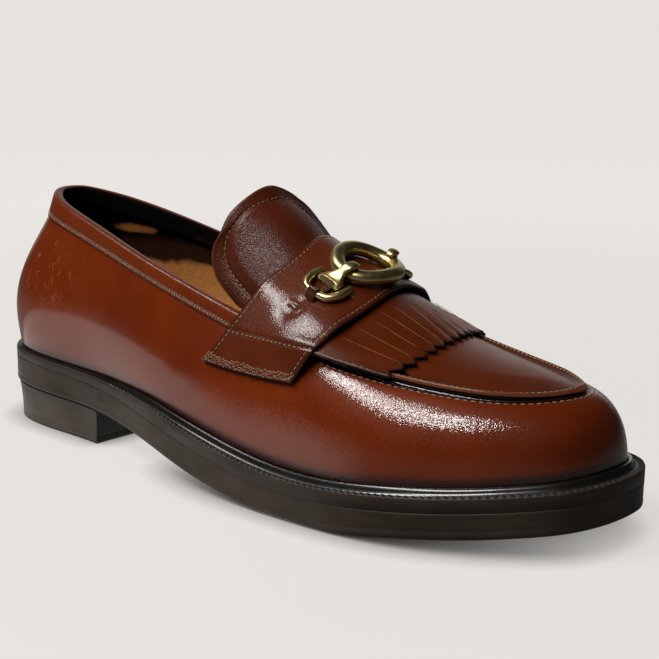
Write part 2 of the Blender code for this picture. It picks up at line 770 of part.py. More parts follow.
def strap_frame(girth, height):
    """Place over the strap's outer face: a point, and the directions across, along and off the strap."""
    face = strap_points(STRAP_THICKNESS)
    girths = np.linspace(0.0, 1.0, STRAP_COLUMNS)
    shares = np.linspace(0.0, 1.0, STRAP_ROWS)

    def point(at_girth, at_share):
        column = spline(girths, face.transpose(1, 0, 2).reshape(STRAP_COLUMNS, -1), at_girth)
        return spline(shares, column.reshape(STRAP_ROWS, 3), at_share)

    nudge = 0.03
    across = point(girth + nudge, BUCKLE_SHARE) - point(girth - nudge, BUCKLE_SHARE)
    across /= np.linalg.norm(across)
    along = point(girth, BUCKLE_SHARE + nudge) - point(girth, BUCKLE_SHARE - nudge)
    along -= across * np.dot(along, across)
    along /= np.linalg.norm(along)
    off = np.cross(along, across)
    return point(girth, BUCKLE_SHARE) + off * height, across, along, off


def wire(name, points, radii, closed, collection):
    """Round wire through points, as a curve with its own radius at each."""
    curve = bpy.data.curves.new(name, "CURVE")
    curve.dimensions = "3D"
    curve.bevel_depth = MM
    curve.bevel_resolution = 2
    curve.use_fill_caps = not closed
    path = curve.splines.new("POLY")
    path.points.add(len(points) - 1)
    path.use_cyclic_u = closed
    for knot, point, radius in zip(path.points, points, radii):
        knot.co = (*to_model(point), 1.0)
        knot.radius = radius
    item = bpy.data.objects.new(name, curve)
    item.data.materials.append(make_material("brass"))
    collection.objects.link(item)
    return item


def link_place():
    """Frame of the oval link."""
    return strap_frame(LINK_GIRTH, LINK_WIRE + GAP)


def build_link(collection):
    """Oval link in the middle of the buckle, bent to the instep."""
    centre, across, along, off = link_place()
    points = []
    for turn in np.arange(LINK_POINTS) * 2.0 * math.pi / LINK_POINTS:
        side = math.cos(turn)
        flat = centre + across * LINK_HALF_ACROSS * side + along * LINK_HALF_ALONG * math.sin(turn)
        points.append(flat - off * LINK_BEND * side * side)
    return wire("buckle_link", points, np.full(LINK_POINTS, LINK_WIRE), True, collection)


def build_stirrup(name, side, collection):
    """Stirrup at one end of the buckle; side is -1 for the outer and 1 for the inner one."""
    thickest = STIRRUP["wire"].max()
    centre, across, along, off = strap_frame(LINK_GIRTH + side * BAR_GIRTH_STEP, thickest + GAP)
    knots = np.linspace(0.0, 1.0, len(STIRRUP["across"]))
    values = np.stack([STIRRUP["across"], STIRRUP["along"], STIRRUP["wire"]], -1)
    half = spline(knots, values, np.linspace(0.0, 1.0, STIRRUP_POINTS))
    other = half[-2::-1] * np.array([1.0, -1.0, 1.0])
    path = np.concatenate([half, other])
    points = [centre - side * across * row[0] + along * row[1] for row in path]
    return wire(name, points, path[:, 2], False, collection)


def build_bar(name, side, collection):
    """T-shaped bar: a barrel between the stirrup's arms, and a tab that hooks over the link's end."""
    barrel_depth = BAR_SECTIONS["depth"].max()
    barrel, _, along, _ = strap_frame(LINK_GIRTH + side * BAR_GIRTH_STEP, barrel_depth / 2.0 + GAP)
    centre, across, _, over = link_place()
    end = centre + side * across * LINK_HALF_ACROSS - over * LINK_BEND
    inwards = -side * across
    towards = end - barrel
    towards -= along * np.dot(towards, along)
    towards /= np.linalg.norm(towards)
    start = [barrel - towards * barrel_depth / 2.0, barrel]
    hook_turns = np.radians(BAR_HOOK_TURNS)
    hook = [end + BAR_HOOK * (inwards * math.cos(turn) + over * math.sin(turn)) for turn in hook_turns]
    path = spline(BAR_KNOTS, np.array(start + hook), BAR_SECTIONS["run"])
    heading = np.gradient(path, axis=0)
    turns = (np.arange(BAR_CORNERS) + 0.5) * 2.0 * math.pi / BAR_CORNERS
    wide = np.sign(np.cos(turns)) * np.abs(np.cos(turns)) ** BAR_SQUARENESS
    deep = np.sign(np.sin(turns)) * np.abs(np.sin(turns)) ** BAR_SQUARENESS
    rings = []
    for row, ahead in enumerate(heading):
        up = np.cross(ahead, along) * side
        up /= np.linalg.norm(up)
        half_width = BAR_SECTIONS["width"][row] / 2.0
        half_depth = BAR_SECTIONS["depth"][row] / 2.0
        rings.append(path[row] + along * (half_width * wide)[:, None] + up * (half_depth * deep)[:, None])
    return loft(name, rings, "brass", collection)


def main():
    """Build every piece of the shoe."""
    collection = reset_scene()
    build_outsole(collection)
    build_welt(collection)
    build_heel(collection)
    build_top_lift(collection)
    build_insole(collection)
    build_upper(collection)
    build_apron(collection)
    build_kiltie(collection)
    build_strap(collection)
    build_collar_band(collection)
    build_tongue(collection)
    build_link(collection)
    build_stirrup("buckle_stirrup_outer", -1, collection)
    build_stirrup("buckle_stirrup_inner", 1, collection)
    build_bar("buckle_bar_outer", -1, collection)
    build_bar("buckle_bar_inner", 1, collection)


main()
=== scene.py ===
"""Looks of a buckle loafer, a right shoe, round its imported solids.

Tables and sizes are in millimetres: x from the back of the heel to the toe, y from the middle line of the
heel with the outer side of the foot negative, z from the floor. Meshes are in metres, in the solids' frame.
"""
import logging
import math
from dataclasses import dataclass
from enum import Enum
from typing import Callable, Optional, Sequence

import bmesh
import bpy
import numpy as np
from mathutils import Matrix, Vector


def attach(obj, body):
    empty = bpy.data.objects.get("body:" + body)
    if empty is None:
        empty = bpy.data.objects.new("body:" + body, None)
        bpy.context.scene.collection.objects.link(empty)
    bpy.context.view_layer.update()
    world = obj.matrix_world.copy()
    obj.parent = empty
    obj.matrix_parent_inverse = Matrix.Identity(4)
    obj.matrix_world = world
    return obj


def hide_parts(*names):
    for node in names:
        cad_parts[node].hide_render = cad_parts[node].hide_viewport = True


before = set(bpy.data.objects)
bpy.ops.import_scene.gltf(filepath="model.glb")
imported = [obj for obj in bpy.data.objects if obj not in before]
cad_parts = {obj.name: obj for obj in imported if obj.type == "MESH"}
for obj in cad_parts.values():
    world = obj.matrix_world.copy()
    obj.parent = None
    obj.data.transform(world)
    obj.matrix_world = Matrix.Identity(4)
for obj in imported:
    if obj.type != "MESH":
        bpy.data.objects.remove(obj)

Array = np.ndarray
Colour = tuple[float, float, float]
Table = dict[str, Array]

LOG = logging.getLogger("loafer")
MM = 0.001
TURN = 2.0 * math.pi
ORIGIN = np.array([150.0, 1.0, 0.0])


class Side(Enum):
    """Side of the foot, with the sign of its y."""

    OUTER = -1
    INNER = 1


def table(columns: str, *rows: tuple[float, ...]) -> Table:
    """Columns of a small table by name.

    Args:
        columns: Names of the columns, parted by spaces.
        rows: Values, a row for each section.

    Returns:
        Each column as an array.
    """
    data = np.array(rows, float)
    return {name: data[:, index] for index, name in enumerate(columns.split())}


OUTLINE = table(
    "x outer inner",
    (4, 15.5, 14.5),
    (18, 27.5, 25.5),
    (45, 32.6, 31.2),
    (77, 35.2, 32.2),
    (110, 42.4, 31.8),
    (145, 49.0, 35.5),
    (180, 51.8, 44.5),
    (210, 52.2, 52.0),
    (235, 49.6, 54.3),
    (258, 41.8, 50.8),
    (278, 30.8, 40.2),
    (291, 20.8, 29.2),
    (298, 7.0, 17.6),
)
HEIGHTS = table(
    "x bottom top",
    (0, 16.7, 29.4),
    (40, 16.0, 27.6),
    (77, 14.8, 25.6),
    (110, 11.8, 22.2),
    (145, 5.2, 16.2),
    (175, 0.7, 11.2),
    (197, -0.8, 9.8),
    (215, -0.1, 10.4),
    (235, 2.4, 12.2),
    (265, 5.6, 15.2),
    (300, 10.8, 20.2),
)
FEATHER = table("x inset", (0, 2.4), (60, 2.6), (100, 4.0), (145, 6.0), (200, 6.4), (300, 6.2))
HEEL_SECTION = (23.4, 0.0, 103.4, 0.0, 8.8)
TOE_SECTION = (278.5, 6.5, 50.0, 1.0, 1.2)
SECTIONS = table(
    "foot outer_x outer_y outer_z inner_x inner_y inner_z round swell",
    (6, 25.4, -8.2, 102.8, 25.4, 8.2, 102.8, 0.0, 8.4),
    (20, 31.8, -14.6, 100.8, 31.8, 14.6, 100.8, 0.05, 7.0),
    (45, 45.0, -20.2, 97.2, 45.0, 20.2, 97.6, 0.1, 5.0),
    (80, 73.0, -25.4, 89.8, 73.0, 25.4, 90.6, 0.15, 4.4),
    (115, 105.0, -29.6, 80.8, 105.0, 29.6, 81.8, 0.2, 3.8),
    (150, 142.0, -31.6, 70.6, 142.0, 31.8, 72.0, 0.25, 3.2),
    (172, 165.0, -32.4, 64.4, 165.0, 33.0, 66.2, 0.35, 3.0),
    (190, 183.0, -34.2, 60.2, 183.0, 35.6, 62.4, 0.5, 3.0),
    (212, 204.0, -34.6, 55.8, 204.0, 36.0, 57.6, 0.7, 3.0),
    (238, 228.0, -30.2, 51.6, 228.0, 32.8, 53.4, 0.85, 2.4),
    (260, 248.0, -24.8, 49.6, 248.0, 28.0, 51.2, 0.95, 1.8),
    (278, 263.0, -17.2, 48.8, 263.0, 22.2, 50.2, 1.0, 1.4),
    (292, 273.8, -6.6, 49.2, 273.5, 15.6, 50.0, 1.0, 1.2),
)
CROWN = table(
    "x rise bow",
    (130, 25.0, 16.0),
    (165, 20.0, 14.0),
    (182, 16.0, 10.0),
    (202, 11.4, 6.0),
    (222, 7.8, 2.5),
    (242, 5.6, 0.5),
    (262, 3.4, 0.0),
    (274, 1.4, 0.0),
    (280, 0.0, 0.0),
)
TONGUE = table(
    "along x z half_width",
    (0.0, 178.0, 80.6, 25.0),
    (0.2, 170.0, 85.4, 26.1),
    (0.5, 159.0, 95.4, 26.7),
    (0.75, 148.8, 104.9, 25.3),
    (0.9, 145.9, 107.5, 20.3),
    (1.0, 142.4, 111.5, 13.0),
)
STRAP_EDGES = table(
    "girth rear front",
    (0.0, 149.0, 192.0),
    (0.12, 155.5, 196.8),
    (0.22, 159.5, 199.5),
    (0.32, 165.5, 202.0),
    (0.42, 170.5, 202.4),
    (0.5, 171.5, 200.5),
    (0.58, 170.5, 199.6),
    (0.68, 165.5, 198.6),
    (0.78, 159.5, 196.8),
    (0.88, 155.5, 194.8),
    (1.0, 149.0, 191.0),
)
STRAP_TRIM = table(
    "girth rear front",
    (0.0, -2.0, 0.0),
    (0.1, -0.6, 0.0),
    (0.22, 0.0, 0.0),
    (0.32, -1.2, 0.0),
    (0.42, -4.0, 0.0),
    (0.5, -6.8, 0.0),
    (0.58, -8.0, -1.0),
    (0.68, -6.6, -2.5),
    (0.78, -3.8, -4.2),
    (0.88, -3.0, -4.5),
    (1.0, -3.0, -4.0),
)
STIRRUP = table(
    "across along wire",
    (3.4, 7.3, 1.0),
    (0.6, 7.9, 1.5),
    (-3.2, 7.7, 1.65),
    (-6.0, 6.4, 1.6),
    (-7.6, 4.2, 1.45),
    (-8.2, 0.0, 1.4),
)
BAR_SECTIONS = table(
    "run width depth",
    (0.0, 9.6, 0.8),
    (0.05, 10.6, 3.2),
    (0.13, 10.8, 4.6),
    (0.2, 10.4, 4.0),
    (0.27, 7.6, 3.1),
    (0.34, 4.8, 2.5),
    (0.48, 4.2, 2.2),
    (0.68, 4.4, 2.2),
    (0.82, 4.2, 2.1),
    (0.91, 3.4, 1.8),
    (0.97, 2.2, 1.2),
    (1.0, 0.9, 0.4),
)
KEEPER = table(
    "run rise",
    (-11.0, -1.7),
    (-10.0, -0.3),
    (-9.1, 1.7),
    (-8.2, 2.35),
    (-7.2, 1.8),
    (-6.0, 0.2),
    (-4.0, -0.6),
    (0.5, -0.3),
)
CREASES = table(
    "x lean low high depth",
    (46, 0.35, 60, 96, -0.16),
    (54, 0.3, 55, 92, 0.14),
    (63, 0.42, 58, 90, -0.14),
    (122, -0.5, 34, 66, -0.18),
    (133, -0.42, 32, 62, 0.14),
    (214, -0.2, 24, 40, -0.12),
    (226, -0.1, 22, 38, 0.1),
)
SOCK_FOLDS = table(
    "x lean depth",
    (96, 0.25, 0.35),
    (104, 0.1, 0.45),
    (112, 0.32, 0.4),
    (121, 0.2, 0.5),
    (131, 0.28, 0.4),
)


# Numbers


def spline(knots: Sequence[float], values: Array, at: Array) -> Array:
    """Natural cubic spline.

    Args:
        knots: Rising places of the values.
        values: A value, or a row of values, at each knot.
        at: Places to read.

    Returns:
        Values at those places.
    """
    knots = np.asarray(knots, float)
    values = np.asarray(values, float)
    flat = values.ndim == 1
    values = values.reshape(len(knots), -1)
    step = np.diff(knots)
    slope = np.diff(values, axis=0) / step[:, None]
    matrix = np.eye(len(knots))
    right = np.zeros_like(values)
    for row in range(1, len(knots) - 1):
        matrix[row, row - 1] = step[row - 1]
        matrix[row, row] = 2.0 * (step[row - 1] + step[row])
        matrix[row, row + 1] = step[row]
        right[row] = 6.0 * (slope[row] - slope[row - 1])
    bend = np.linalg.solve(matrix, right)
    at = np.asarray(at, float)
    shape = at.shape
    at = np.clip(at.ravel(), knots[0], knots[-1])
    cell = np.clip(np.searchsorted(knots, at) - 1, 0, len(knots) - 2)
    width = step[cell][:, None]
    before = (at - knots[cell])[:, None]
    after = width - before
    result = (bend[cell] * after**3 + bend[cell + 1] * before**3) / (6.0 * width)
    result += (values[cell] / width - bend[cell] * width / 6.0) * after
    result += (values[cell + 1] / width - bend[cell + 1] * width / 6.0) * before
    return result.reshape(shape) if flat else result.reshape(shape + (-1,))


def loop_spline(knots: Array, values: Array, at: Array) -> Array:
    """Closed smooth curve through rows of values round a full turn.

    Args:
        knots: Angles from 0 to a full turn.
        values: A row at each knot.
        at: Angles to read.

    Returns:
        Rows at those angles.
    """
    lap = np.concatenate([knots - TURN, knots, knots + TURN])
    return spline(lap, np.concatenate([values] * 3), np.mod(at, TURN))


def ease(value: Array) -> Array:
    """Soft ramp from 0 to 1."""
    value = np.clip(value, 0.0, 1.0)
    return value * value * (3.0 - 2.0 * value)


def bell(value: Array, centre: float, width: float) -> Array:
    """Soft bump of height 1 about a centre."""
    return np.exp(-(((np.asarray(value) - centre) / width) ** 2))


def unit(vectors: Array) -> Array:
    """Vectors at length 1."""
    return vectors / np.maximum(np.linalg.norm(vectors, axis=-1, keepdims=True), 1e-9)


def run_length(points: Array) -> Array:
    """Length from the first point along a line of points, which lie on the first axis."""
    steps = np.linalg.norm(np.diff(points, axis=0), axis=-1)
    return np.concatenate([np.zeros((1,) + steps.shape[1:]), np.cumsum(steps, axis=0)])


def soften(points: Array, rounds: int, axis: int) -> Array:
    """Even out a grid of points along one axis, its ends kept.

    Args:
        points: Grid of points.
        rounds: How often neighbours are averaged.
        axis: Axis to even out along.

    Returns:
        The softened grid.
    """
    points = np.moveaxis(points.copy(), axis, 0)
    for _ in range(rounds):
        points[1:-1] = 0.25 * points[:-2] + 0.5 * points[1:-1] + 0.25 * points[2:]
    return np.moveaxis(points, 0, axis)


def grid_normals(points: Array, wrap: bool = False) -> Array:
    """Unit normals of a grid of points, on the outside of the shoe.

    Args:
        points: Grid of points.
        wrap: Whether the columns close on themselves.

    Returns:
        A normal for each point.
    """
    wide = np.concatenate([points[:, -2:], points, points[:, :2]], axis=1) if wrap else points
    normal = np.cross(np.gradient(wide, axis=0), np.gradient(wide, axis=1))
    normal = unit(normal[:, 2:-2] if wrap else normal)
    facing = np.sum(normal * (points - np.array([150.0, 0.0, 30.0])))
    return normal if facing > 0.0 else -normal


def at_distance(values: Array, reach: Array, distance: float) -> Array:
    """Line over a grid at one distance down its columns.

    Args:
        values: Grid of points or normals.
        reach: Distance of each point of the grid.
        distance: Where the line runs.

    Returns:
        A row of values for each column.
    """
    line = []
    for column in range(values.shape[1]):
        order = np.argsort(reach[:, column])
        way = reach[order, column]
        line.append([np.interp(distance, way, values[order, column, axis]) for axis in range(3)])
    return np.array(line)


def fan(
    surface: Callable[[Array, Array], Array],
    half: Callable[[Array], Array],
    ends: tuple[float, float, float],
    columns: int,
    rows: int,
) -> tuple[Array, Array]:
    """Grid of a leaf-shaped piece, from its edge in the first row to its middle line in the last.

    Args:
        surface: Points of the piece by place along it and place across it, -1 to 1.
        half: Half of its width at a place along it, nothing at its tip.
        ends: Places along it where its sides begin, where the middle line ends and where the tip is.
        columns: Points along the edge.
        rows: Points from the edge to the middle.

    Returns:
        The points, and their distance from the edge.
    """
    start, spine, tip = ends
    turn = np.linspace(-1.0, 1.0, columns)
    along = tip + (start - tip) * np.abs(turn) ** 1.6
    soft = (tip - spine) / 4.0
    target = along - soft * np.log1p(np.exp((along - spine) / soft))
    shares = (np.linspace(0.0, 1.0, rows) ** 1.25)[:, None]
    place = along + (target - along) * shares
    side = np.sign(turn) * half(along) * (1.0 - shares)
    points = surface(place, np.clip(side / np.maximum(half(place), 1e-3), -1.0, 1.0))
    return points, run_length(points)


def fan_normals(points: Array) -> Array:
    """Smooth normals of a leaf-shaped grid, the same from both sides on its middle line.

    Args:
        points: Grid of points, the middle line in the last row.

    Returns:
        A normal for each point.
    """
    normals = grid_normals(points)
    normals[-1] = normals[-2]
    normals = unit(soften(soften(normals, 24, 1), 2, 0))
    normals[-1] = unit(normals[-2] + normals[-2, ::-1])
    return normals


def close_middle(face: Array, reach: float = 0.6) -> Array:
    """Leaf-shaped grid with both halves of its last row on one line, drawn to a point at the line's end.

    Args:
        face: Grid of points, the middle line in the last row.
        reach: How near the end points become one.

    Returns:
        The closed grid.
    """
    face = face.copy()
    face[-1] = (face[-1] + face[-1, ::-1]) / 2.0
    end = face[-1, face.shape[1] // 2].copy()
    face[-1, np.linalg.norm(face[-1] - end, axis=-1) < reach] = end
    return face


# The last


def turn_at(x: Array) -> Array:
    """Angle round the sole's outline that stands at x on the outer side."""
    return np.arccos(1.0 - 2.0 * np.asarray(x, float) / Last.length)


def both_sides(x: Array) -> Array:
    """Angles of a loop out along the outer side and back along the inner side."""
    side = turn_at(x)
    return np.concatenate([[0.0], side, [math.pi], TURN - side[::-1]])


@dataclass(frozen=True)
class Last:
    """Form that every piece is cut from."""

    length: float = 300.0
    toe_point_y: float = 7.0
    seat: float = 0.7
    crown_skew: float = 0.05
    swell_peak: float = 3.0 / 7.0
    throat: float = 23 * TURN / 84

    def outline(self, angle: Array) -> Array:
        """Edge of the sole in plan.

        Args:
            angle: Angles round the sole, from the heel out along the outer side.

        Returns:
            Its x and y at those angles.
        """
        side_x = OUTLINE["x"]
        x = np.concatenate([[0.0], side_x, [self.length], side_x[::-1]])
        y = np.concatenate([[0.0], -OUTLINE["outer"], [self.toe_point_y], OUTLINE["inner"][::-1]])
        return loop_spline(both_sides(side_x), np.stack([x, y], -1), angle)

    def outward(self, angle: Array) -> Array:
        """Unit vector out of the sole's edge in plan.

        Args:
            angle: Angles round the sole.

        Returns:
            Its x and y at those angles.
        """
        nudge = 0.01
        tangent = unit(self.outline(np.asarray(angle) + nudge) - self.outline(np.asarray(angle) - nudge))
        return np.stack([tangent[..., 1], -tangent[..., 0]], -1)

    def inset(self, angle: Array, depth: Array) -> Array:
        """Edge of the sole moved inwards."""
        return self.outline(angle) - self.outward(angle) * np.asarray(depth)[..., None]

    def sole_top(self, x: Array) -> Array:
        """Height of the outsole's top."""
        return spline(HEIGHTS["x"], HEIGHTS["top"], x)

    def sole_bottom(self, x: Array) -> Array:
        """Height of the outsole's underside, flat where it meets the floor."""
        return np.maximum(spline(HEIGHTS["x"], HEIGHTS["bottom"], x), 0.0)

    def feather(self, angle: Array) -> Array:
        """Inset of the line where upper and welt meet."""
        return spline(FEATHER["x"], FEATHER["inset"], self.outline(angle)[..., 0])

    def section(self, angle: Array) -> Array:
        """Top line, roundness and swell of the wall.

        Args:
            angle: Angles round the sole.

        Returns:
            A row of x, y, z, roundness and swell for each angle.
        """
        foot, *columns = SECTIONS.values()
        outer = np.stack(columns[:3] + columns[6:], -1)
        inner = np.stack(columns[3:], -1)
        rows = np.concatenate([[HEEL_SECTION], outer, [TOE_SECTION], inner[::-1]])
        return loop_spline(both_sides(foot), rows, angle)

    def wall(self, angle: Array, share: Array) -> Array:
        """Outer face of the upper's wall.

        Args:
            angle: Angle round the sole.
            share: 0 at the welt to 1 on the top line.

        Returns:
            Points of the wall.
        """
        angle, share = np.broadcast_arrays(np.asarray(angle, float), np.asarray(share, float))
        foot = self.inset(angle, self.feather(angle))
        foot_z = self.sole_top(foot[..., 0]) + self.seat
        values = self.section(angle)
        top, top_z = values[..., :2], values[..., 2]
        roundness = np.clip(values[..., 3], 0.0, 1.0)
        quarter = share * math.pi / 2.0
        run = share + roundness * (1.0 - np.cos(quarter) - share)
        climb = share + roundness * (np.sin(quarter) - share)
        peak = self.swell_peak**1.5 * (1.0 - self.swell_peak) ** 2
        swell = values[..., 4] * share**1.5 * (1.0 - share) ** 2 / peak
        plan = foot + (top - foot) * run[..., None] + self.outward(angle) * swell[..., None]
        return np.concatenate([plan, (foot_z + (top_z - foot_z) * climb)[..., None]], -1)

    def instep(self, angle: Array, across: Array) -> Array:
        """Top of the upper between the two sides of the top line.

        Args:
            angle: Angle of the chord on the outer side.
            across: -1 on the outer side to 1 on the inner side.

        Returns:
            Points of the instep.
        """
        angle, across = np.broadcast_arrays(np.asarray(angle, float), np.asarray(across, float))
        outer = self.wall(angle, 1.0)
        inner = self.wall(TURN - angle, 1.0)
        point = outer + (inner - outer) * (across[..., None] + 1.0) / 2.0
        arch = 1.0 - across**2
        middle = (outer[..., 0] + inner[..., 0]) / 2.0
        point[..., 0] += spline(CROWN["x"], CROWN["bow"], middle) * arch
        rise = spline(CROWN["x"], CROWN["rise"], point[..., 0])
        point[..., 2] += rise * arch * (1.0 + self.crown_skew * across)
        return point

    def over(self, curve: Callable[[Array], Array], x: Array) -> Array:
        """Points of a curve of the upper that stand over x.

        Args:
            curve: Points of the curve at angles on the outer side.
            x: Places along the shoe.

        Returns:
            Points of the curve.
        """
        angles = np.linspace(turn_at(115.0), turn_at(245.0), 160)
        return curve(np.interp(x, curve(angles)[..., 0], angles))


LAST = Last()


# Meshes


def mesh_grid(points: Array, wrap: bool, marks: dict[str, Array]) -> bpy.types.Mesh:
    """Grid laid through points, with its own UV map and a value of each mark at each point.

    Args:
        points: Rows and columns of points.
        wrap: Whether the columns close on themselves.
        marks: Named values on the same grid.

    Returns:
        The mesh.
    """
    if wrap:
        points = np.concatenate([points, points[:, :1]], axis=1)
        marks = {name: np.concatenate([value, value[:, :1]], axis=1) for name, value in marks.items()}
    rows, columns = points.shape[:2]
    build = bmesh.new()
    build.loops.layers.uv.new("UVMap")
    bmesh.ops.create_grid(build, x_segments=columns - 1, y_segments=rows - 1, size=0.5, calc_uvs=True)
    data = bpy.data.meshes.new("grid")
    build.to_mesh(data)
    build.free()
    place = np.zeros(len(data.vertices) * 3)
    data.vertices.foreach_get("co", place)
    place = place.reshape(-1, 3) + 0.5
    column = np.rint(place[:, 0] * (columns - 1)).astype(int)
    row = np.rint(place[:, 1] * (rows - 1)).astype(int)
    data.vertices.foreach_set("co", ((points[row, column] - ORIGIN) * MM).ravel())
    for name, value in marks.items():
        data.attributes.new(name, "FLOAT", "POINT").data.foreach_set("value", value[row, column])
    data.update()
    return data


def join(parts: list[bpy.types.Mesh], merge: float = 0.00002) -> bmesh.types.BMesh:
    """One mesh of several, with what meets merged and its faces turned one way.

    Args:
        parts: Meshes, which are used up.
        merge: Distance within which points become one, in metres.

    Returns:
        The joined mesh.
    """
    build = bmesh.new()
    for data in parts:
        build.from_mesh(data)
        bpy.data.meshes.remove(data)
    bmesh.ops.remove_doubles(build, verts=build.verts, dist=merge)
    bmesh.ops.dissolve_degenerate(build, edges=build.edges, dist=merge / 4.0)
    bmesh.ops.recalc_face_normals(build, faces=build.faces)
    return build


def face_out(build: bmesh.types.BMesh) -> None:
    """Turn an open sheet so that its faces look away from the inside of the shoe.

    Args:
        build: The sheet.
    """
    inside = Vector((0.0, 0.0, 0.03))
    facing = 0.0
    for face in build.faces:
        facing += face.normal.dot(face.calc_center_median() - inside) * face.calc_area()
    if facing < 0.0:
        bmesh.ops.reverse_faces(build, faces=build.faces)


def sheet(points: Array, marks: dict[str, Array], merge: float = 0.00002) -> bmesh.types.BMesh:
    """Open sheet through a grid of points, its faces outwards.

    Args:
        points: Rows and columns of points.
        marks: Named values on the same grid.
        merge: Distance within which points become one, in metres.

    Returns:
        The mesh.
    """
    build = join([mesh_grid(points, False, marks)], merge)
    face_out(build)
    return build


def piece(
    name: str,
    build: bmesh.types.BMesh,
    finishes: Sequence[bpy.types.Material],
    stands_for: Sequence[str] = (),
) -> bpy.types.Object:
    """Finished piece that moves with the shoe.

    Args:
        name: Name of the piece.
        build: Its mesh, which is used up.
        finishes: Its materials.
        stands_for: Nodes of the solids that it replaces.

    Returns:
        The object.
    """
    data = bpy.data.meshes.new(name)
    build.to_mesh(data)
    build.free()
    for finish in finishes:
        data.materials.append(finish)
    data.shade_smooth()
    item = bpy.data.objects.new(name, data)
    bpy.context.scene.collection.objects.link(item)
    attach(item, "root")
    if stands_for:
        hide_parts(*stands_for)
    LOG.info("%s: %d faces", name, len(data.polygons))
    return item


def thicken(
    item: bpy.types.Object,
    thickness: float,
    lining: int = 0,
    rim: int = 0,
    even: bool = True,
) -> None:
    """Give a sheet its wall, inwards from its face.

    Args:
        item: The sheet.
        thickness: Wall in millimetres.
        lining: Steps in the material list to the inner face.
        rim: Steps in the material list to the edge.
        even: Whether the wall keeps its thickness round bends.
    """
    wall = item.modifiers.new("wall", "SOLIDIFY")
    wall.thickness = thickness * MM
    wall.offset = -1.0
    wall.use_even_offset = even
    wall.material_offset = lining
    wall.material_offset_rim = rim


def round_edges(item: bpy.types.Object, width: float, segments: int = 2, angle: float = 50.0) -> None:
    """Soften the sharp edges of a piece.

    Args:
        item: The piece.
        width: Width of the rounding in millimetres.
        segments: Faces across it.
        angle: Sharpest angle that is left alone, in degrees.
    """
    bevel = item.modifiers.new("edges", "BEVEL")
    bevel.width = width * MM
    bevel.segments = segments
    bevel.limit_method = "ANGLE"
    bevel.angle_limit = math.radians(angle)


@dataclass(frozen=True)
class Thread:
    """Sewing thread laid as rows of short stitches."""

    pitch: float
    length: float
    thick: float
    rise: float = 0.12
    slant: float = 0.0
    loose: float = 0.0

    def places(self, line: Array, normals: Array, seed: int) -> tuple[Array, Array, Array]:
        """Where the stitches of a line lie.

        Args:
            line: Points of the line.
            normals: The surface's normals there.
            seed: Start of the random draws.

        Returns:
            Middle of each stitch, and its directions along and off the surface.
        """
        reach = run_length(line)
        count = max(int(reach[-1] / self.pitch), 1)
        middles = (np.arange(count) + 0.5) * reach[-1] / count

        def read(values: Array, at: Array) -> Array:
            """Values of the line at distances along it."""
            return np.stack([np.interp(at, reach, values[:, axis]) for axis in range(3)], -1)

        up = unit(read(normals, middles))
        along = unit(read(line, middles + 0.3) - read(line, middles - 0.3))
        beside = unit(np.cross(up, along))
        stray = np.random.default_rng(seed).uniform(-1.0, 1.0, (2, count, 1))
        turn = np.radians(self.slant + self.loose * stray[0])
        middle = read(line, middles) + beside * 0.01 * self.loose * stray[1]
        return middle, along * np.cos(turn) + beside * np.sin(turn), up

    def sew(
        self,
        name: str,
        lines: Sequence[tuple[Array, Array]],
        finish: bpy.types.Material,
        slot: str,
    ) -> None:
        """Lay stitches along lines on a surface.

        Args:
            name: Name of the piece.
            lines: Points of each line, and the surface's normals there.
            finish: Material of the thread.
            slot: Not used.
        """
        bead = bmesh.new()
        bmesh.ops.create_uvsphere(bead, u_segments=6, v_segments=5, radius=0.5)
        shape = np.array([vert.co[:] for vert in bead.verts])
        faces = [[vert.index for vert in face.verts] for face in bead.faces]
        bead.free()
        rows = [self.places(line, normals, seed) for seed, (line, normals) in enumerate(lines)]
        middles, along, up = (np.concatenate(part)[:, None] for part in zip(*rows))
        beside = np.cross(up, along)
        points = middles + up * self.rise + shape[:, 2:3] * self.length * along
        points = points + self.thick * (shape[:, 0:1] * beside + shape[:, 1:2] * up)
        starts = np.arange(len(points)) * len(shape)
        data = bpy.data.meshes.new(name)
        corners = [[start + index for index in face] for start in starts.tolist() for face in faces]
        data.from_pydata(((points.reshape(-1, 3) - ORIGIN) * MM).tolist(), [], corners)
        build = bmesh.new()
        build.from_mesh(data)
        bpy.data.meshes.remove(data)
        bmesh.ops.recalc_face_normals(build, faces=build.faces)
        piece(name, build, [finish])


# Finishes


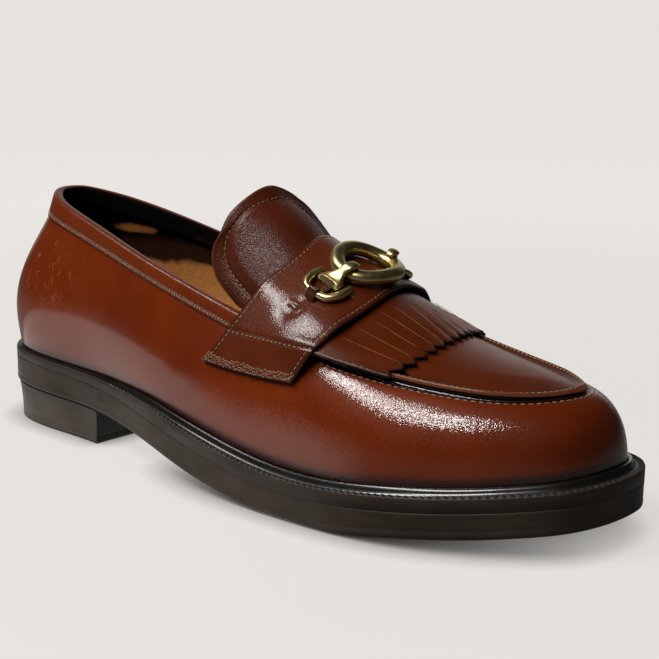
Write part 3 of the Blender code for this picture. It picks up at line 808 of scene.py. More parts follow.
class Nodes:
    """Short way to write a material's nodes."""

    def __init__(self, name: str) -> None:
        """Start a material.

        Args:
            name: Its name.
        """
        self.material = bpy.data.materials.new(name)
        self.material.use_nodes = True
        self.tree = self.material.node_tree
        self.shader = self.tree.nodes["Principled BSDF"]
        self.object = self.add("ShaderNodeTexCoord").outputs["Object"]

    def add(self, kind: str, **settings: object) -> bpy.types.Node:
        """New node.

        Args:
            kind: Blender's name of the node.
            settings: Some of its settings.

        Returns:
            The node.
        """
        node = self.tree.nodes.new(kind)
        for name, value in settings.items():
            setattr(node, name, value)
        return node

    def put(self, socket: bpy.types.NodeSocket, value: object) -> None:
        """Give an input its value.

        Args:
            socket: The input.
            value: An output to link it to, or a number, vector or colour.
        """
        if isinstance(value, bpy.types.NodeSocket):
            self.tree.links.new(value, socket)
        else:
            socket.default_value = value

    def feed(self, node: bpy.types.Node, **inputs: object) -> bpy.types.Node:
        """Set or link inputs of a node.

        Args:
            node: The node.
            inputs: Values by name of the input; underscores stand for spaces.

        Returns:
            The same node.
        """
        for name, value in inputs.items():
            self.put(node.inputs[name.replace("_", " ")], value)
        return node

    def vector(self, operation: str, *values: object) -> bpy.types.Node:
        """Node that works on vectors.

        Args:
            operation: What it does.
            values: Its inputs in order.

        Returns:
            The node.
        """
        node = self.add("ShaderNodeVectorMath", operation=operation)
        for socket, value in zip(node.inputs, values):
            self.put(socket, value)
        return node

    def noise(
        self, scale: float, detail: float = 2.0, stretch: Optional[Colour] = None
    ) -> bpy.types.NodeSocket:
        """Noise in object space.

        Args:
            scale: How fine it is.
            detail: How many finer layers it has.
            stretch: Scale of each axis.

        Returns:
            Its value.
        """
        source = self.object
        if stretch is not None:
            mapping = self.feed(self.add("ShaderNodeMapping"), Vector=source, Scale=stretch)
            source = mapping.outputs["Vector"]
        node = self.feed(self.add("ShaderNodeTexNoise"), Vector=source, Scale=scale, Detail=detail)
        return node.outputs["Fac"]

    def cells(self, scale: float) -> bpy.types.NodeSocket:
        """Distance to the edges of grain cells in object space."""
        node = self.add("ShaderNodeTexVoronoi", feature="DISTANCE_TO_EDGE")
        return self.feed(node, Vector=self.object, Scale=scale).outputs["Distance"]

    def mark(self, name: str) -> bpy.types.NodeSocket:
        """Value of a mark on the mesh."""
        return self.add("ShaderNodeAttribute", attribute_name=name).outputs["Fac"]

    def remap(
        self, value: bpy.types.NodeSocket, low: float, high: float, to_low: float, to_high: float
    ) -> bpy.types.NodeSocket:
        """Value moved from one range to another and held there.

        Args:
            value: The value.
            low: Start of its range.
            high: End of its range.
            to_low: Result at the start.
            to_high: Result at the end.

        Returns:
            The moved value.
        """
        node = self.add("ShaderNodeMapRange")
        inputs = {"From_Min": low, "From_Max": high, "To_Min": to_low, "To_Max": to_high}
        return self.feed(node, Value=value, **inputs).outputs["Result"]

    def math(self, operation: str, first: object, second: object) -> bpy.types.NodeSocket:
        """Sum, product or other working of two values.

        Args:
            operation: What it does.
            first: A value.
            second: Another value.

        Returns:
            The result.
        """
        node = self.add("ShaderNodeMath", operation=operation)
        self.put(node.inputs[0], first)
        self.put(node.inputs[1], second)
        return node.outputs["Value"]

    def mix(self, factor: object, first: object, second: object) -> bpy.types.NodeSocket:
        """Colour between two colours.

        Args:
            factor: 0 at the first colour to 1 at the second.
            first: A colour.
            second: Another colour.

        Returns:
            The mixed colour.
        """
        node = self.add("ShaderNodeMix", data_type="RGBA")
        self.put(node.inputs[0], factor)
        for socket, value in ((node.inputs[6], first), (node.inputs[7], second)):
            self.put(socket, (*value, 1.0) if isinstance(value, tuple) else value)
        return node.outputs[2]

    def bump(self, height: bpy.types.NodeSocket, strength: float, depth: float) -> bpy.types.NodeSocket:
        """Normal of a fine relief, depth in millimetres."""
        node = self.add("ShaderNodeBump")
        return self.feed(node, Height=height, Strength=strength, Distance=depth * MM).outputs["Normal"]


@dataclass(frozen=True)
class Leather:
    """Leather with grain, mottled dye and darker burnished edges, with painted shade and painted highlights
    where the mesh is marked.
    """

    name: str
    base: Colour
    deep: Colour
    # Colour of burnished dye, also used for painted shade in grooves and gaps.
    burnt_and_shade_colour: Colour
    roughness: float
    coat: float
    coat_roughness: float
    grain: float
    grain_depth: float
    fine_depth: float
    scuffed: Colour = (0.30, 0.12, 0.07)
    # Colour of rubbed wear, also used for painted highlights on ridges and edges.
    rubbed: Colour = (0.16, 0.062, 0.034)
    specular: float = 0.07
    coat_grain: float = 0.5
    pebble: float = 0.1

    def scuffs(self, nodes: Nodes) -> bpy.types.NodeSocket:
        """Hairline scratches where the mesh is marked as scuffed.

        Args:
            nodes: Nodes of the leather.

        Returns:
            How much a place is scratched.
        """
        wander = nodes.feed(nodes.add("ShaderNodeTexNoise"), Vector=nodes.object, Scale=60.0, Detail=3.0)
        bent = nodes.vector("MULTIPLY_ADD", wander.outputs["Color"], (0.03, 0.03, 0.03), nodes.object)
        cells = nodes.add("ShaderNodeTexVoronoi", feature="DISTANCE_TO_EDGE")
        nodes.feed(cells, Vector=bent.outputs["Vector"], Scale=230.0)
        hair = nodes.remap(cells.outputs["Distance"], 0.0, 0.035, 0.8, 0.0)
        broken = nodes.remap(nodes.noise(240.0, 3.0), 0.5, 0.62, 0.0, 1.0)
        return nodes.math("MULTIPLY", nodes.math("MULTIPLY", hair, broken), nodes.mark("scuff"))

    def material(self) -> bpy.types.Material:
        """Material of the leather.

        Returns:
            The material.
        """
        nodes = Nodes(self.name)
        cloud = nodes.remap(nodes.noise(22.0, 4.0), 0.32, 0.68, 0.0, 1.0)
        fleck = nodes.remap(nodes.noise(520.0, 3.0), 0.3, 0.7, 0.0, 0.35)
        dyed = nodes.mix(cloud, self.deep, self.base)
        dyed = nodes.mix(fleck, dyed, self.deep)
        dyed = nodes.mix(self.scuffs(nodes), dyed, self.scuffed)
        # Lighter where marked: rubbed wear with a painted highlight on ridges and edges.
        dyed = nodes.mix(nodes.mark("rub"), dyed, self.rubbed)
        # Darker where marked: burnished dye, and painted shade in grooves, gaps and under other pieces.
        colour = nodes.mix(nodes.mark("burnish_and_shade"), dyed, self.burnt_and_shade_colour)
        cells = nodes.remap(nodes.cells(self.grain), 0.0, 0.42, 0.0, 1.0)
        colour = nodes.mix(nodes.remap(cells, 0.0, 0.8, self.pebble, 0.0), colour, self.burnt_and_shade_colour)
        fine = nodes.noise(self.grain * 1.7, 3.0)
        pores = nodes.math("MULTIPLY", cells, self.grain_depth)
        relief = nodes.math("ADD", pores, nodes.math("MULTIPLY", fine, self.fine_depth))
        relief = nodes.math("MULTIPLY", relief, nodes.remap(nodes.mark("smooth"), 0.0, 1.0, 1.0, 0.2))
        normal = nodes.bump(relief, 1.0, 1.0)
        rough = nodes.remap(nodes.noise(90.0, 4.0), 0.3, 0.7, self.roughness - 0.05, self.roughness + 0.08)
        nodes.feed(
            nodes.shader,
            Base_Color=colour,
            Roughness=rough,
            Normal=normal,
            Specular_IOR_Level=self.specular,
            Coat_Weight=self.coat,
            Coat_Roughness=self.coat_roughness,
            Coat_Normal=nodes.bump(relief, self.coat_grain, 1.0),
        )
        return nodes.material


@dataclass(frozen=True)
class Moulded:
    """Sole stuff: dark rubber or leather board with fine flow lines along its edge."""

    name: str
    base: Colour
    pale: Colour
    roughness: float
    coat: float
    lines: float

    def material(self) -> bpy.types.Material:
        """Material of the sole stuff.

        Returns:
            The material.
        """
        nodes = Nodes(self.name)
        cloud = nodes.remap(nodes.noise(38.0, 4.0, (1.0, 1.0, 2.4)), 0.35, 0.7, 0.0, 1.0)
        streak = nodes.noise(180.0, 3.0, (0.12, 0.12, 5.0))
        colour = nodes.mix(cloud, self.base, self.pale)
        colour = nodes.mix(nodes.remap(streak, 0.35, 0.75, 0.0, 0.5), colour, self.base)
        normal = nodes.bump(streak, 1.0, self.lines)
        rough = nodes.remap(nodes.noise(120.0, 3.0), 0.3, 0.7, self.roughness - 0.06, self.roughness + 0.1)
        nodes.feed(nodes.shader, Base_Color=colour, Roughness=rough, Normal=normal, Specular_IOR_Level=0.18)
        nodes.feed(nodes.shader, Coat_Weight=self.coat, Coat_Roughness=0.15)
        return nodes.material


@dataclass(frozen=True)
class Metal:
    """Cast metal, polished by hand, with a little tarnish."""

    name: str
    base: Colour
    tarnish: Colour
    roughness: float

    def material(self) -> bpy.types.Material:
        """Material of the metal.

        Returns:
            The material.
        """
        nodes = Nodes(self.name)
        cloud = nodes.remap(nodes.noise(160.0, 4.0), 0.42, 0.75, 0.0, 0.6)
        colour = nodes.mix(cloud, self.base, self.tarnish)
        rough = nodes.remap(nodes.noise(420.0, 4.0), 0.3, 0.7, self.roughness - 0.04, self.roughness + 0.08)
        normal = nodes.bump(nodes.noise(260.0, 2.0), 0.5, 0.03)
        nodes.feed(nodes.shader, Base_Color=colour, Metallic=1.0, Roughness=rough, Normal=normal)
        return nodes.material


@dataclass(frozen=True)
class Plain:
    """Simple surface with a little change of tone."""

    name: str
    base: Colour
    deep: Colour
    roughness: float
    scale: float
    relief: float

    def material(self) -> bpy.types.Material:
        """Material of the surface.

        Returns:
            The material.
        """
        nodes = Nodes(self.name)
        cloud = nodes.noise(self.scale, 4.0)
        colour = nodes.mix(nodes.remap(cloud, 0.35, 0.65, 0.0, 1.0), self.deep, self.base)
        normal = nodes.bump(cloud, 1.0, self.relief)
        nodes.feed(nodes.shader, Base_Color=colour, Roughness=self.roughness, Normal=normal)
        nodes.feed(nodes.shader, Specular_IOR_Level=0.25)
        return nodes.material


@dataclass(frozen=True)
class Lining:
    """Lining: black round the collar, brown below, tan in the foot, with one rubbed patch at the heel."""

    name: str
    black: Colour
    brown: Colour
    tan: Colour
    black_foot: float = 80.0
    tan_top: float = 70.0
    patch: tuple[float, float] = (42.0, 84.0)
    patch_reach: tuple[float, float] = (12.0, 2.2)

    def material(self) -> bpy.types.Material:
        """Material of the lining.

        Returns:
            The material.
        """
        nodes = Nodes(self.name)
        split = nodes.feed(nodes.add("ShaderNodeSeparateXYZ"), Vector=nodes.object)
        wave = nodes.math("MULTIPLY", nodes.math("SUBTRACT", nodes.noise(90.0, 4.0), 0.5), 0.008)
        level = nodes.math("ADD", split.outputs["Z"], wave)
        deep = nodes.remap(level, (self.black_foot - 2.5) * MM, (self.black_foot + 2.5) * MM, 0.0, 1.0)
        foot = nodes.remap(level, (self.tan_top - 1.6) * MM, (self.tan_top + 1.2) * MM, 1.0, 0.0)
        grain = nodes.noise(700.0, 3.0)
        tan = nodes.mix(nodes.remap(grain, 0.4, 0.7, 0.0, 0.3), self.tan, self.brown)
        colour = nodes.mix(foot, nodes.mix(deep, self.brown, self.black), tan)
        middle = ((self.patch[0] - ORIGIN[0]) * MM, 0.018, self.patch[1] * MM)
        stretch = (1.0 / (self.patch_reach[0] * MM), 60.0, 1.0 / (self.patch_reach[1] * MM))
        place = nodes.vector("SUBTRACT", nodes.object, middle)
        spread = nodes.vector("MULTIPLY", place.outputs["Vector"], stretch)
        far = nodes.vector("LENGTH", spread.outputs["Vector"])
        ragged = nodes.math("ADD", far.outputs["Value"], nodes.math("MULTIPLY", wave, 160.0))
        rubbed = nodes.remap(ragged, 0.55, 1.15, 0.8, 0.0)
        colour = nodes.mix(rubbed, colour, tan)
        normal = nodes.bump(grain, 0.7, 0.2)
        nodes.feed(nodes.shader, Base_Color=colour, Roughness=0.8, Normal=normal, Specular_IOR_Level=0.01)
        return nodes.material


class Finishes:
    """Every material of the shoe, made once."""

    def __init__(self) -> None:
        """Make the materials."""
        self.vamp = Leather(
            "vamp_leather", (0.130, 0.0170, 0.0007), (0.080, 0.0098, 0.0006), (0.010, 0.0025, 0.0015),
            0.36, 0.86, 0.085, 1500.0, 0.062, 0.012, coat_grain=0.5,
        ).material()
        self.collar = Leather(
            "collar_leather", (0.124, 0.0178, 0.0012), (0.082, 0.0110, 0.0010), (0.010, 0.0025, 0.0015),
            0.38, 0.4, 0.24, 1500.0, 0.062, 0.012,
        ).material()
        self.strap = Leather(
            "strap_leather", (0.104, 0.0160, 0.0016), (0.058, 0.0088, 0.0014), (0.010, 0.003, 0.002),
            0.38, 0.4, 0.12, 1250.0, 0.095, 0.02, coat_grain=0.26, pebble=0.34,
        ).material()
        self.tongue = Leather(
            "tongue_leather", (0.082, 0.0130, 0.0018), (0.050, 0.0080, 0.0016), (0.010, 0.003, 0.002),
            0.4, 0.2, 0.24, 1250.0, 0.095, 0.02, coat_grain=0.6, pebble=0.5,
        ).material()
        self.apron = Leather(
            "apron_leather", (0.084, 0.0128, 0.0006), (0.056, 0.0086, 0.0006), (0.010, 0.003, 0.002),
            0.4, 0.3, 0.22, 1700.0, 0.015, 0.025,
        ).material()
        self.lining = Lining(
            "lining", (0.0014, 0.0012, 0.0011), (0.022, 0.008, 0.0045), (0.34, 0.14, 0.04)
        ).material()
        self.backing = Plain(
            "tongue_backing", (0.15, 0.062, 0.026), (0.10, 0.040, 0.017), 0.7, 320.0, 0.15
        ).material()
        self.edge = Plain(
            "cut_edge", (0.010, 0.0055, 0.004), (0.004, 0.003, 0.0025), 0.75, 700.0, 0.1
        ).material()
        self.sock = Plain(
            "sock_leather", (0.64, 0.265, 0.056), (0.44, 0.165, 0.028), 0.55, 130.0, 0.6
        ).material()
        self.thread = Plain(
            "thread", (0.29, 0.165, 0.10), (0.15, 0.082, 0.048), 0.6, 900.0, 0.05
        ).material()
        self.slit = Plain(
            "slit_edge", (0.22, 0.105, 0.055), (0.12, 0.055, 0.03), 0.6, 900.0, 0.05
        ).material()
        self.welt = Moulded(
            "welt_black", (0.0045, 0.0042, 0.004), (0.008, 0.0076, 0.0072), 0.3, 0.6, 0.01
        ).material()
        self.rim = Moulded(
            "welt_rim", (0.011, 0.0100, 0.0094), (0.026, 0.024, 0.0225), 0.42, 0.12, 0.03
        ).material()
        self.sole = Moulded(
            "sole_stuff", (0.015, 0.0100, 0.0068), (0.034, 0.025, 0.018), 0.52, 0.04, 0.05
        ).material()
        # Lighter copy of the sole stuff: painted light, the heel's side shown more lit than the sole's.
        self.heel = Moulded(
            "heel_stuff_lit", (0.026, 0.019, 0.014), (0.046, 0.036, 0.027), 0.5, 0.04, 0.05
        ).material()
        # Black rubber of the top lift, also put on the heel's breast as painted shade.
        self.rubber = Moulded(
            "lift_rubber_and_breast_shade", (0.0035, 0.0032, 0.003), (0.007, 0.0065, 0.006), 0.6, 0.0, 0.03
        ).material()
        self.brass = Metal("buckle_metal", (0.49, 0.395, 0.175), (0.31, 0.225, 0.088), 0.3).material()


# Sub-assemblies


@dataclass
class Sole:
    """Outsole, heel, top lift and insole."""

    finishes: Finishes
    columns: int = 360
    cross: int = 10
    lip: float = 3.8
    step: float = 0.18
    groove: float = 0.14
    breast_x: float = 77.0
    breast_rake: float = 2.0
    heel_inset: float = 0.9
    heel_taper: float = 1.2
    lift_height: float = 3.0
    gap: float = 0.35
    heel_gap: float = 0.1
    lift_black: float = 0.9
    insole_inset: float = 2.7
    insole_thickness: float = 3.0

    def slab(self, rings: Array, breast: bool) -> bmesh.types.BMesh:
        """Closed solid of rings from bottom to top.

        Args:
            rings: Levels of points; the second half of each ring mirrors the first.
            breast: Whether the ring is cut straight across at its front.

        Returns:
            The mesh.
        """
        count = rings.shape[1]
        half = count // 2 + 1
        faces = [(ring[:half], ring[(-np.arange(half)) % count]) for ring in (rings[0], rings[-1])]
        if breast:
            side = np.concatenate([rings[:, half - 1 + count % 2 :], rings[:, :half]], axis=1)
            faces.insert(0, (rings[:, half - 1], rings[:, (count - half + 1) % count]))
        parts = [mesh_grid(side if breast else rings, not breast, {})]
        share = np.linspace(0.0, 1.0, self.cross + 1)[None, :, None]
        for outer, inner in faces:
            parts.append(mesh_grid(outer[:, None] + (inner - outer)[:, None] * share, False, {}))
        return join(parts)

    def build_outsole(self) -> None:
        """Outsole with a step, a shallow hollow and a lip along its side."""
        ring = np.arange(self.columns) * TURN / self.columns
        base = LAST.outline(ring)[:, 0]
        bottom, top = LAST.sole_bottom(base), LAST.sole_top(base)
        lip = bottom + self.lip
        hollow = (top - lip) * 0.5 + lip
        levels = (
            (2.2, bottom),
            (1.2, bottom + 0.25),
            (self.step, bottom + 1.1),
            (self.step - 0.15, bottom + 2.2),
            (self.step, lip - 0.5),
            (self.step + 0.04, lip - 0.12),
            (0.16, lip + 0.18),
            (0.1, lip + 0.7),
            (self.groove, hollow - 0.8),
            (self.groove, hollow + 0.6),
            (0.1, top - 1.3),
            (0.06, top - 0.7),
            (0.06, top - 0.06),
            (0.2, top),
        )
        rings = []
        for inset, level in levels:
            plan = LAST.inset(ring, np.full(self.columns, inset))
            rings.append(np.concatenate([plan, level[:, None]], -1))
        piece("sole_long", self.slab(np.array(rings), False), [self.finishes.sole], ["outsole"])

    def heel_ring(self, inset: float, breast_x: float) -> Array:
        """Plan of the heel: the sole's outline cut straight at the breast.

        Args:
            inset: Distance inside the sole's edge.
            breast_x: Where the breast stands.

        Returns:
            Points of the plan.
        """
        half = np.linspace(0.0, turn_at(breast_x), 70)
        angles = np.concatenate([half, TURN - half[:0:-1]])
        return LAST.inset(angles, np.full(len(angles), inset))

    def heel_slab(
        self,
        name: str,
        levels: Sequence[tuple[float, float, Array]],
        finish: bpy.types.Material,
        node: str,
    ) -> None:
        """Slab of the heel.

        Args:
            name: Name of the piece.
            levels: Inset, place of the breast and height of each ring from bottom to top.
            finish: Material.
            node: Node of the solids that it replaces.
        """
        rings = []
        for inset, breast_x, height in levels:
            plan = self.heel_ring(inset, breast_x)
            rings.append(np.concatenate([plan, np.broadcast_to(height, len(plan))[:, None]], -1))
        build = self.slab(np.array(rings), True)
        # Faces near the bottom take the lift's black rubber; the breast's faces take it too, as painted
        # shade.
        for face in build.faces:
            low = face.calc_center_median().z < self.lift_black * MM
            face.material_index = int(face.normal.x > 0.8 or low)
        item = piece(name, build, [finish, self.finishes.rubber], [node])
        round_edges(item, 0.15, 2, 40.0)

    def build_heel(self) -> None:
        """Heel block and the thin lift under it."""
        foot_x = self.breast_x - self.breast_rake
        inset = self.heel_inset + self.heel_taper
        plan_x = self.heel_ring(self.heel_inset, self.breast_x)[:, 0]
        top = LAST.sole_bottom(plan_x) - self.heel_gap
        low = np.full(len(top), self.lift_height + 0.05)
        levels = []
        for share in (0.0, 0.06, 0.3, 0.6, 0.9, 0.97, 1.0):
            taper = self.heel_inset + self.heel_taper * (1.0 - share) + 0.25 * math.sin(math.pi * share)
            levels.append((taper, foot_x + self.breast_rake * share, low + (top - low) * share))
        self.heel_slab("heel_stack", levels, self.finishes.heel, "heel_block")
        lift = [(inset + 0.5, foot_x - 0.5, 0.0)]
        lift += [(inset, foot_x, height) for height in (0.5, self.lift_black, self.lift_height)]
        self.heel_slab("heel_lift", lift, self.finishes.heel, "heel_top_lift")

    def build_insole(self) -> None:
        """Sock-covered insole with a few soft wrinkles."""
        ring = np.arange(self.columns) * TURN / self.columns
        half = self.columns // 2 + 1
        inset = LAST.feather(ring) + self.insole_inset
        plan = LAST.inset(ring, inset)
        outer, inner = plan[:half], plan[(-np.arange(half)) % self.columns]
        share = np.linspace(0.0, 1.0, 49)[None, :, None]
        flat = outer[:, None] + (inner - outer)[:, None] * share
        x, y = flat[..., 0], flat[..., 1]
        height = LAST.sole_top(x) + self.gap + self.insole_thickness
        edge = 1.0 - np.abs(2.0 * share[..., 0] - 1.0)
        dish = -0.9 * ease(edge / 0.8) + 0.5
        folds = np.zeros_like(x)
        for place, lean, depth in zip(*SOCK_FOLDS.values()):
            folds += depth * bell(x + lean * y + 1.6 * np.sin(y / 5.0 + place), place, 1.9)
        points = np.concatenate([flat, (height + dish + folds)[..., None]], -1)
        item = piece("sock", sheet(points, {}), [self.finishes.sock], ["insole"])
        thicken(item, 2.4, even=False)


@dataclass
class Welt:
    """Black welt with a raised bead against the upper and wheeled notches on its rim."""

    finishes: Finishes
    columns: int = 1700
    height: float = 5.2
    heel_height: float = 3.4
    bead: float = 7.3
    heel_bead: float = 4.2
    notch_pitch: float = 2.7
    notch_depth: float = 0.95
    gap: float = 0.05

    def build(self) -> None:
        """Sweep the welt's profile round the shoe."""
        fine = np.linspace(0.0, TURN, 6001)
        reach = run_length(LAST.outline(fine))
        ring = np.interp(np.arange(self.columns) * reach[-1] / self.columns, reach, fine)
        run = np.interp(ring, fine, reach)
        base = LAST.outline(ring)[:, 0]
        seat = LAST.sole_top(base)
        out = LAST.outward(ring)
        front = ease((base - 62.0) / 60.0)
        bead = self.heel_bead + (self.bead - self.heel_bead) * front
        notched = ease((base - 84.0) / 8.0)
        notch = notched * self.notch_depth * (0.5 + 0.5 * np.cos(run * TURN / self.notch_pitch)) ** 2
        climb = np.linspace(0.0, 0.35, 30)
        faces = LAST.wall(ring[:, None], climb[None, :])

        def face_at(level: Array) -> Array:
            """Plan of the upper's wall at heights over the sole."""
            shares = [np.interp(z, face[:, 2], climb) for z, face in zip(seat + level, faces)]
            return LAST.wall(ring, np.array(shares))[:, :2]

        edge = LAST.outline(ring)
        top_face = face_at(bead)
        room = np.maximum(np.sum((edge - top_face) * out, -1), 0.8)
        ledge = np.minimum(room * 0.62, 3.4)

        def ring_at(place: Array, level: Array) -> Array:
            """Ring of points from its plan and its height over the sole."""
            return np.concatenate([place, (seat + level)[:, None]], -1)

        def from_edge(inset: Array) -> Array:
            """Plan of the sole's edge moved inwards."""
            return edge - out * np.broadcast_to(inset, len(base))[:, None]

        rim = np.minimum(room * 0.35, 2.2)
        height = self.heel_height + (self.height - self.heel_height) * front
        base_level = np.full(self.columns, self.gap)
        profile = (
            ring_at(face_at(base_level) + out * 0.2, base_level),
            ring_at(from_edge(0.15), base_level),
            ring_at(from_edge(0.05), base_level + 0.06),
            ring_at(from_edge(0.05), height - 0.8),
            ring_at(from_edge(0.1), height - 0.35),
            ring_at(from_edge(0.3), height + 0.05 - notch * 0.1),
            ring_at(from_edge(0.6), height + 0.15 - notch * 0.8),
            ring_at(from_edge(rim * 0.6), height + 0.45 - notch),
            ring_at(from_edge(rim), height + 0.3 - notch * 0.8),
            ring_at(from_edge(rim + 0.35), height - 0.6),
            ring_at(top_face + out * (ledge * 0.72)[:, None], np.minimum(height - 0.4, bead - 0.6)),
            ring_at(top_face + out * (ledge * 0.6)[:, None], height + (bead - height) * 0.45),
            ring_at(top_face + out * (ledge * 0.48)[:, None], height + (bead - height) * 0.85),
            ring_at(top_face + out * (ledge * 0.32)[:, None], bead),
            ring_at(top_face + out * (ledge * 0.16)[:, None], bead - 0.15),
            ring_at(top_face + out * 0.05, bead - 0.9),
        )
        points = np.stack(profile + (profile[0],))
        side = np.zeros(points.shape[:2])
        side[1:5] = 1.0
        side[5:11] = 2.0
        build = join([mesh_grid(points, True, {"side": side})])
        layer = build.verts.layers.float["side"]
        for face in build.faces:
            face.material_index = round(min(vert[layer] for vert in face.verts))
        finishes = [self.finishes.welt, self.finishes.sole, self.finishes.rim]
        piece("welt_ring", build, finishes, ["welt"])


@dataclass
class Upper:
    """Vamp and quarters as one wall on the last, with the apron, kiltie, collar band and tongue on it."""

    finishes: Finishes
    columns: int = 504
    rows: int = 72
    chord_columns: int = 16
    thickness: float = 1.9
    groove_depth: float = 1.9
    groove_at: float = 1.3
    seam_thread_at: float = 3.0

    def seam_distance(self, wall: Array) -> Array:
        """Distance of each point of the wall from the top line."""
        return run_length(wall[::-1])[::-1]

    def burnish_and_shade(self, wall: Array, below: Array) -> Array:
        """How dark the leather is: burnished dye at the toe and heel, burnished dye and painted shade above
        the welt, painted shade under the seam.

        Args:
            wall: Grid of the wall.
            below: Distance of each point from the top line.

        Returns:
            0 to 1 on the same grid.
        """
        above = run_length(wall)
        x = wall[..., 0]
        front = ease((x - 180.0) / 25.0)
        bead = 4.3 + 3.0 * ease((x - 62.0) / 60.0)
        # Burnished dye with painted shade at the wall's foot above the welt's bead; painted shade in the
        # groove under the apron's edge.
        welt = 0.97 * (1.0 - ease((above - bead) / 4.2))
        seam = front * (bell(below, self.groove_at - 0.4, 1.5) + 0.25 * np.exp(-below / 7.0))
        toe = 0.5 * ease((x - 258.0) / 40.0) * ease((40.0 - above) / 26.0)
        heel = 0.2 * ease((26.0 - x) / 26.0)
        return np.clip(welt + seam + toe + heel, 0.0, 1.0)

    def creases(self, wall: Array) -> Array:
        """Soft troughs and ridges of worn leather, at listed places.

        Args:
            wall: Grid of the wall.

        Returns:
            Lift off the wall on the same grid.
        """
        x, z = wall[..., 0], wall[..., 2]
        outer = (wall[..., 1] < 0.0) * 1.0
        relief = np.zeros_like(x)
        for place, lean, low, high, depth in zip(*CREASES.values()):
            span = ease((z - low) / 10.0) * ease((high - z) / 10.0)
            relief += depth * span * bell(x + lean * (z - low), place, 4.0) * (0.6 + 0.4 * outer)
        relief += 0.10 * np.sin(x / 17.0 + z / 23.0) * np.sin(z / 13.0 - x / 41.0)
        return relief

    def build_wall(self) -> None:
        """Wall and instep, lined inside."""
        ring = np.arange(self.columns) * TURN / self.columns
        shares = np.linspace(0.0, 1.0, self.rows + 1) ** 0.9
        wall = LAST.wall(ring[None, :], shares[:, None])
        below = self.seam_distance(wall)
        normals = grid_normals(wall, True)
        front = ease((wall[..., 0] - 176.0) / 16.0)
        top = ease(below / 0.8)
        groove = -self.groove_depth * front * bell(below, self.groove_at, 0.75) * top
        lift = groove + self.creases(wall) * ease(below / 6.0)
        points = wall + normals * lift[..., None]
        x, z = wall[..., 0], wall[..., 2]
        scuff = bell(x, 40.0, 20.0) * bell(z, 68.0, 15.0) * (wall[..., 1] < 0.0)
        smooth = ease((165.0 - x) / 50.0)
        marks = {"burnish_and_shade": self.burnish_and_shade(wall, below), "scuff": scuff, "smooth": smooth}
        first = round(LAST.throat / (TURN / self.columns))
        chords = ring[first : self.columns // 2 + 1]
        across = np.linspace(-1.0, 1.0, self.chord_columns + 1)
        instep = LAST.instep(chords[:, None], across[None, :])
        # The instep under the apron and strap is painted dark all over: painted shade.
        deep = {name: np.full(instep.shape[:2], 0.9 * (name == "burnish_and_shade")) for name in marks}
        build = join([mesh_grid(points, True, marks), mesh_grid(instep, False, deep)])
        face_out(build)
        finishes = [self.finishes.vamp, self.finishes.lining, self.finishes.edge]
        item = piece("upper_wall", build, finishes, ["upper"])
        thicken(item, self.thickness, 1, 2)

    def sew_seam(self) -> None:
        """Row of stitches on the wall, under the apron's raised edge."""
        first = turn_at(205.0)
        angles = np.linspace(first, TURN - first, 319)
        shares = np.linspace(0.55, 1.0, 60)
        wall = LAST.wall(angles[None, :], shares[:, None])
        below = self.seam_distance(wall)
        normals = grid_normals(wall)
        line = at_distance(wall, below, self.seam_thread_at)
        facing = at_distance(normals, below, self.seam_thread_at)
        Thread(2.7, 1.9, 0.5, 0.05).sew("seam_thread", [(line, facing)], self.finishes.thread, "upper")


@dataclass
class Apron:
    """Plate inside the raised toe seam, with a rolled edge and an inner row of stitches."""

    finishes: Finishes
    columns: int = 361
    rows: int = 54
    plate: float = 0.6
    ridge: float = 2.1
    ridge_at: float = 1.1
    ridge_width: float = 1.15
    thread_at: float = 1.75
    thread_rear: float = 212.0
    spine_foot: float = 262.0
    thickness: float = 2.2

    def lift(self, inside: Array) -> Array:
        """Height of the plate's face over the instep.

        Args:
            inside: Distance from the plate's edge.

        Returns:
            The height at each distance.
        """
        ridge = self.ridge * bell(inside, self.ridge_at, self.ridge_width)
        valley = -0.25 * bell(inside, self.thread_at, 0.5)
        swell = 0.5 * ease((inside - 4.0) / 12.0)
        return self.plate + ridge + valley + swell

    def build(self) -> None:
        """Plate, and its row of stitches."""

        def half(angle: Array) -> Array:
            """Half of the plate's width."""
            return np.linalg.norm(LAST.wall(angle, 1.0) - LAST.wall(TURN - angle, 1.0), axis=-1) / 2.0

        ends = (LAST.throat + 0.002, float(turn_at(self.spine_foot)), math.pi)
        points, inside = fan(LAST.instep, half, ends, self.columns, self.rows)
        normals = fan_normals(points)
        low = 1.0 - 0.4 * ease((points[..., 0] - 262.0) / 16.0) * bell(inside, 0.0, 3.0)
        face = points + normals * (self.lift(inside) * low)[..., None]
        # Painted shade at the foot of the rolled edge and in the row of stitches, and a little on the plate.
        burnish_and_shade = 0.85 * bell(inside, 3.3, 0.9) + 0.2 * ease((inside - 3.0) / 2.0) * np.exp(-inside / 9.0)
        burnish_and_shade += 0.5 * bell(inside, self.thread_at, 0.35)
        # Lighter along the rolled edge: rubbed wear with a painted highlight.
        rub = 0.45 * bell(inside, self.ridge_at - 0.5, 0.8)
        build = sheet(close_middle(face), {"burnish_and_shade": np.clip(burnish_and_shade, 0.0, 1.0), "rub": rub}, 0.000002)
        finishes = [self.finishes.apron, self.finishes.edge]
        item = piece("apron_plate", build, finishes, ["apron"])
        thicken(item, self.thickness, 1, 1, even=False)
        line, facing = (at_distance(values, inside, self.thread_at) for values in (face, normals))
        keep = line[:, 0] > self.thread_rear
        seam = [(line[keep], facing[keep])]
        Thread(2.1, 1.5, 0.5, 0.1).sew("apron_thread", seam, self.finishes.thread, "apron_leather")


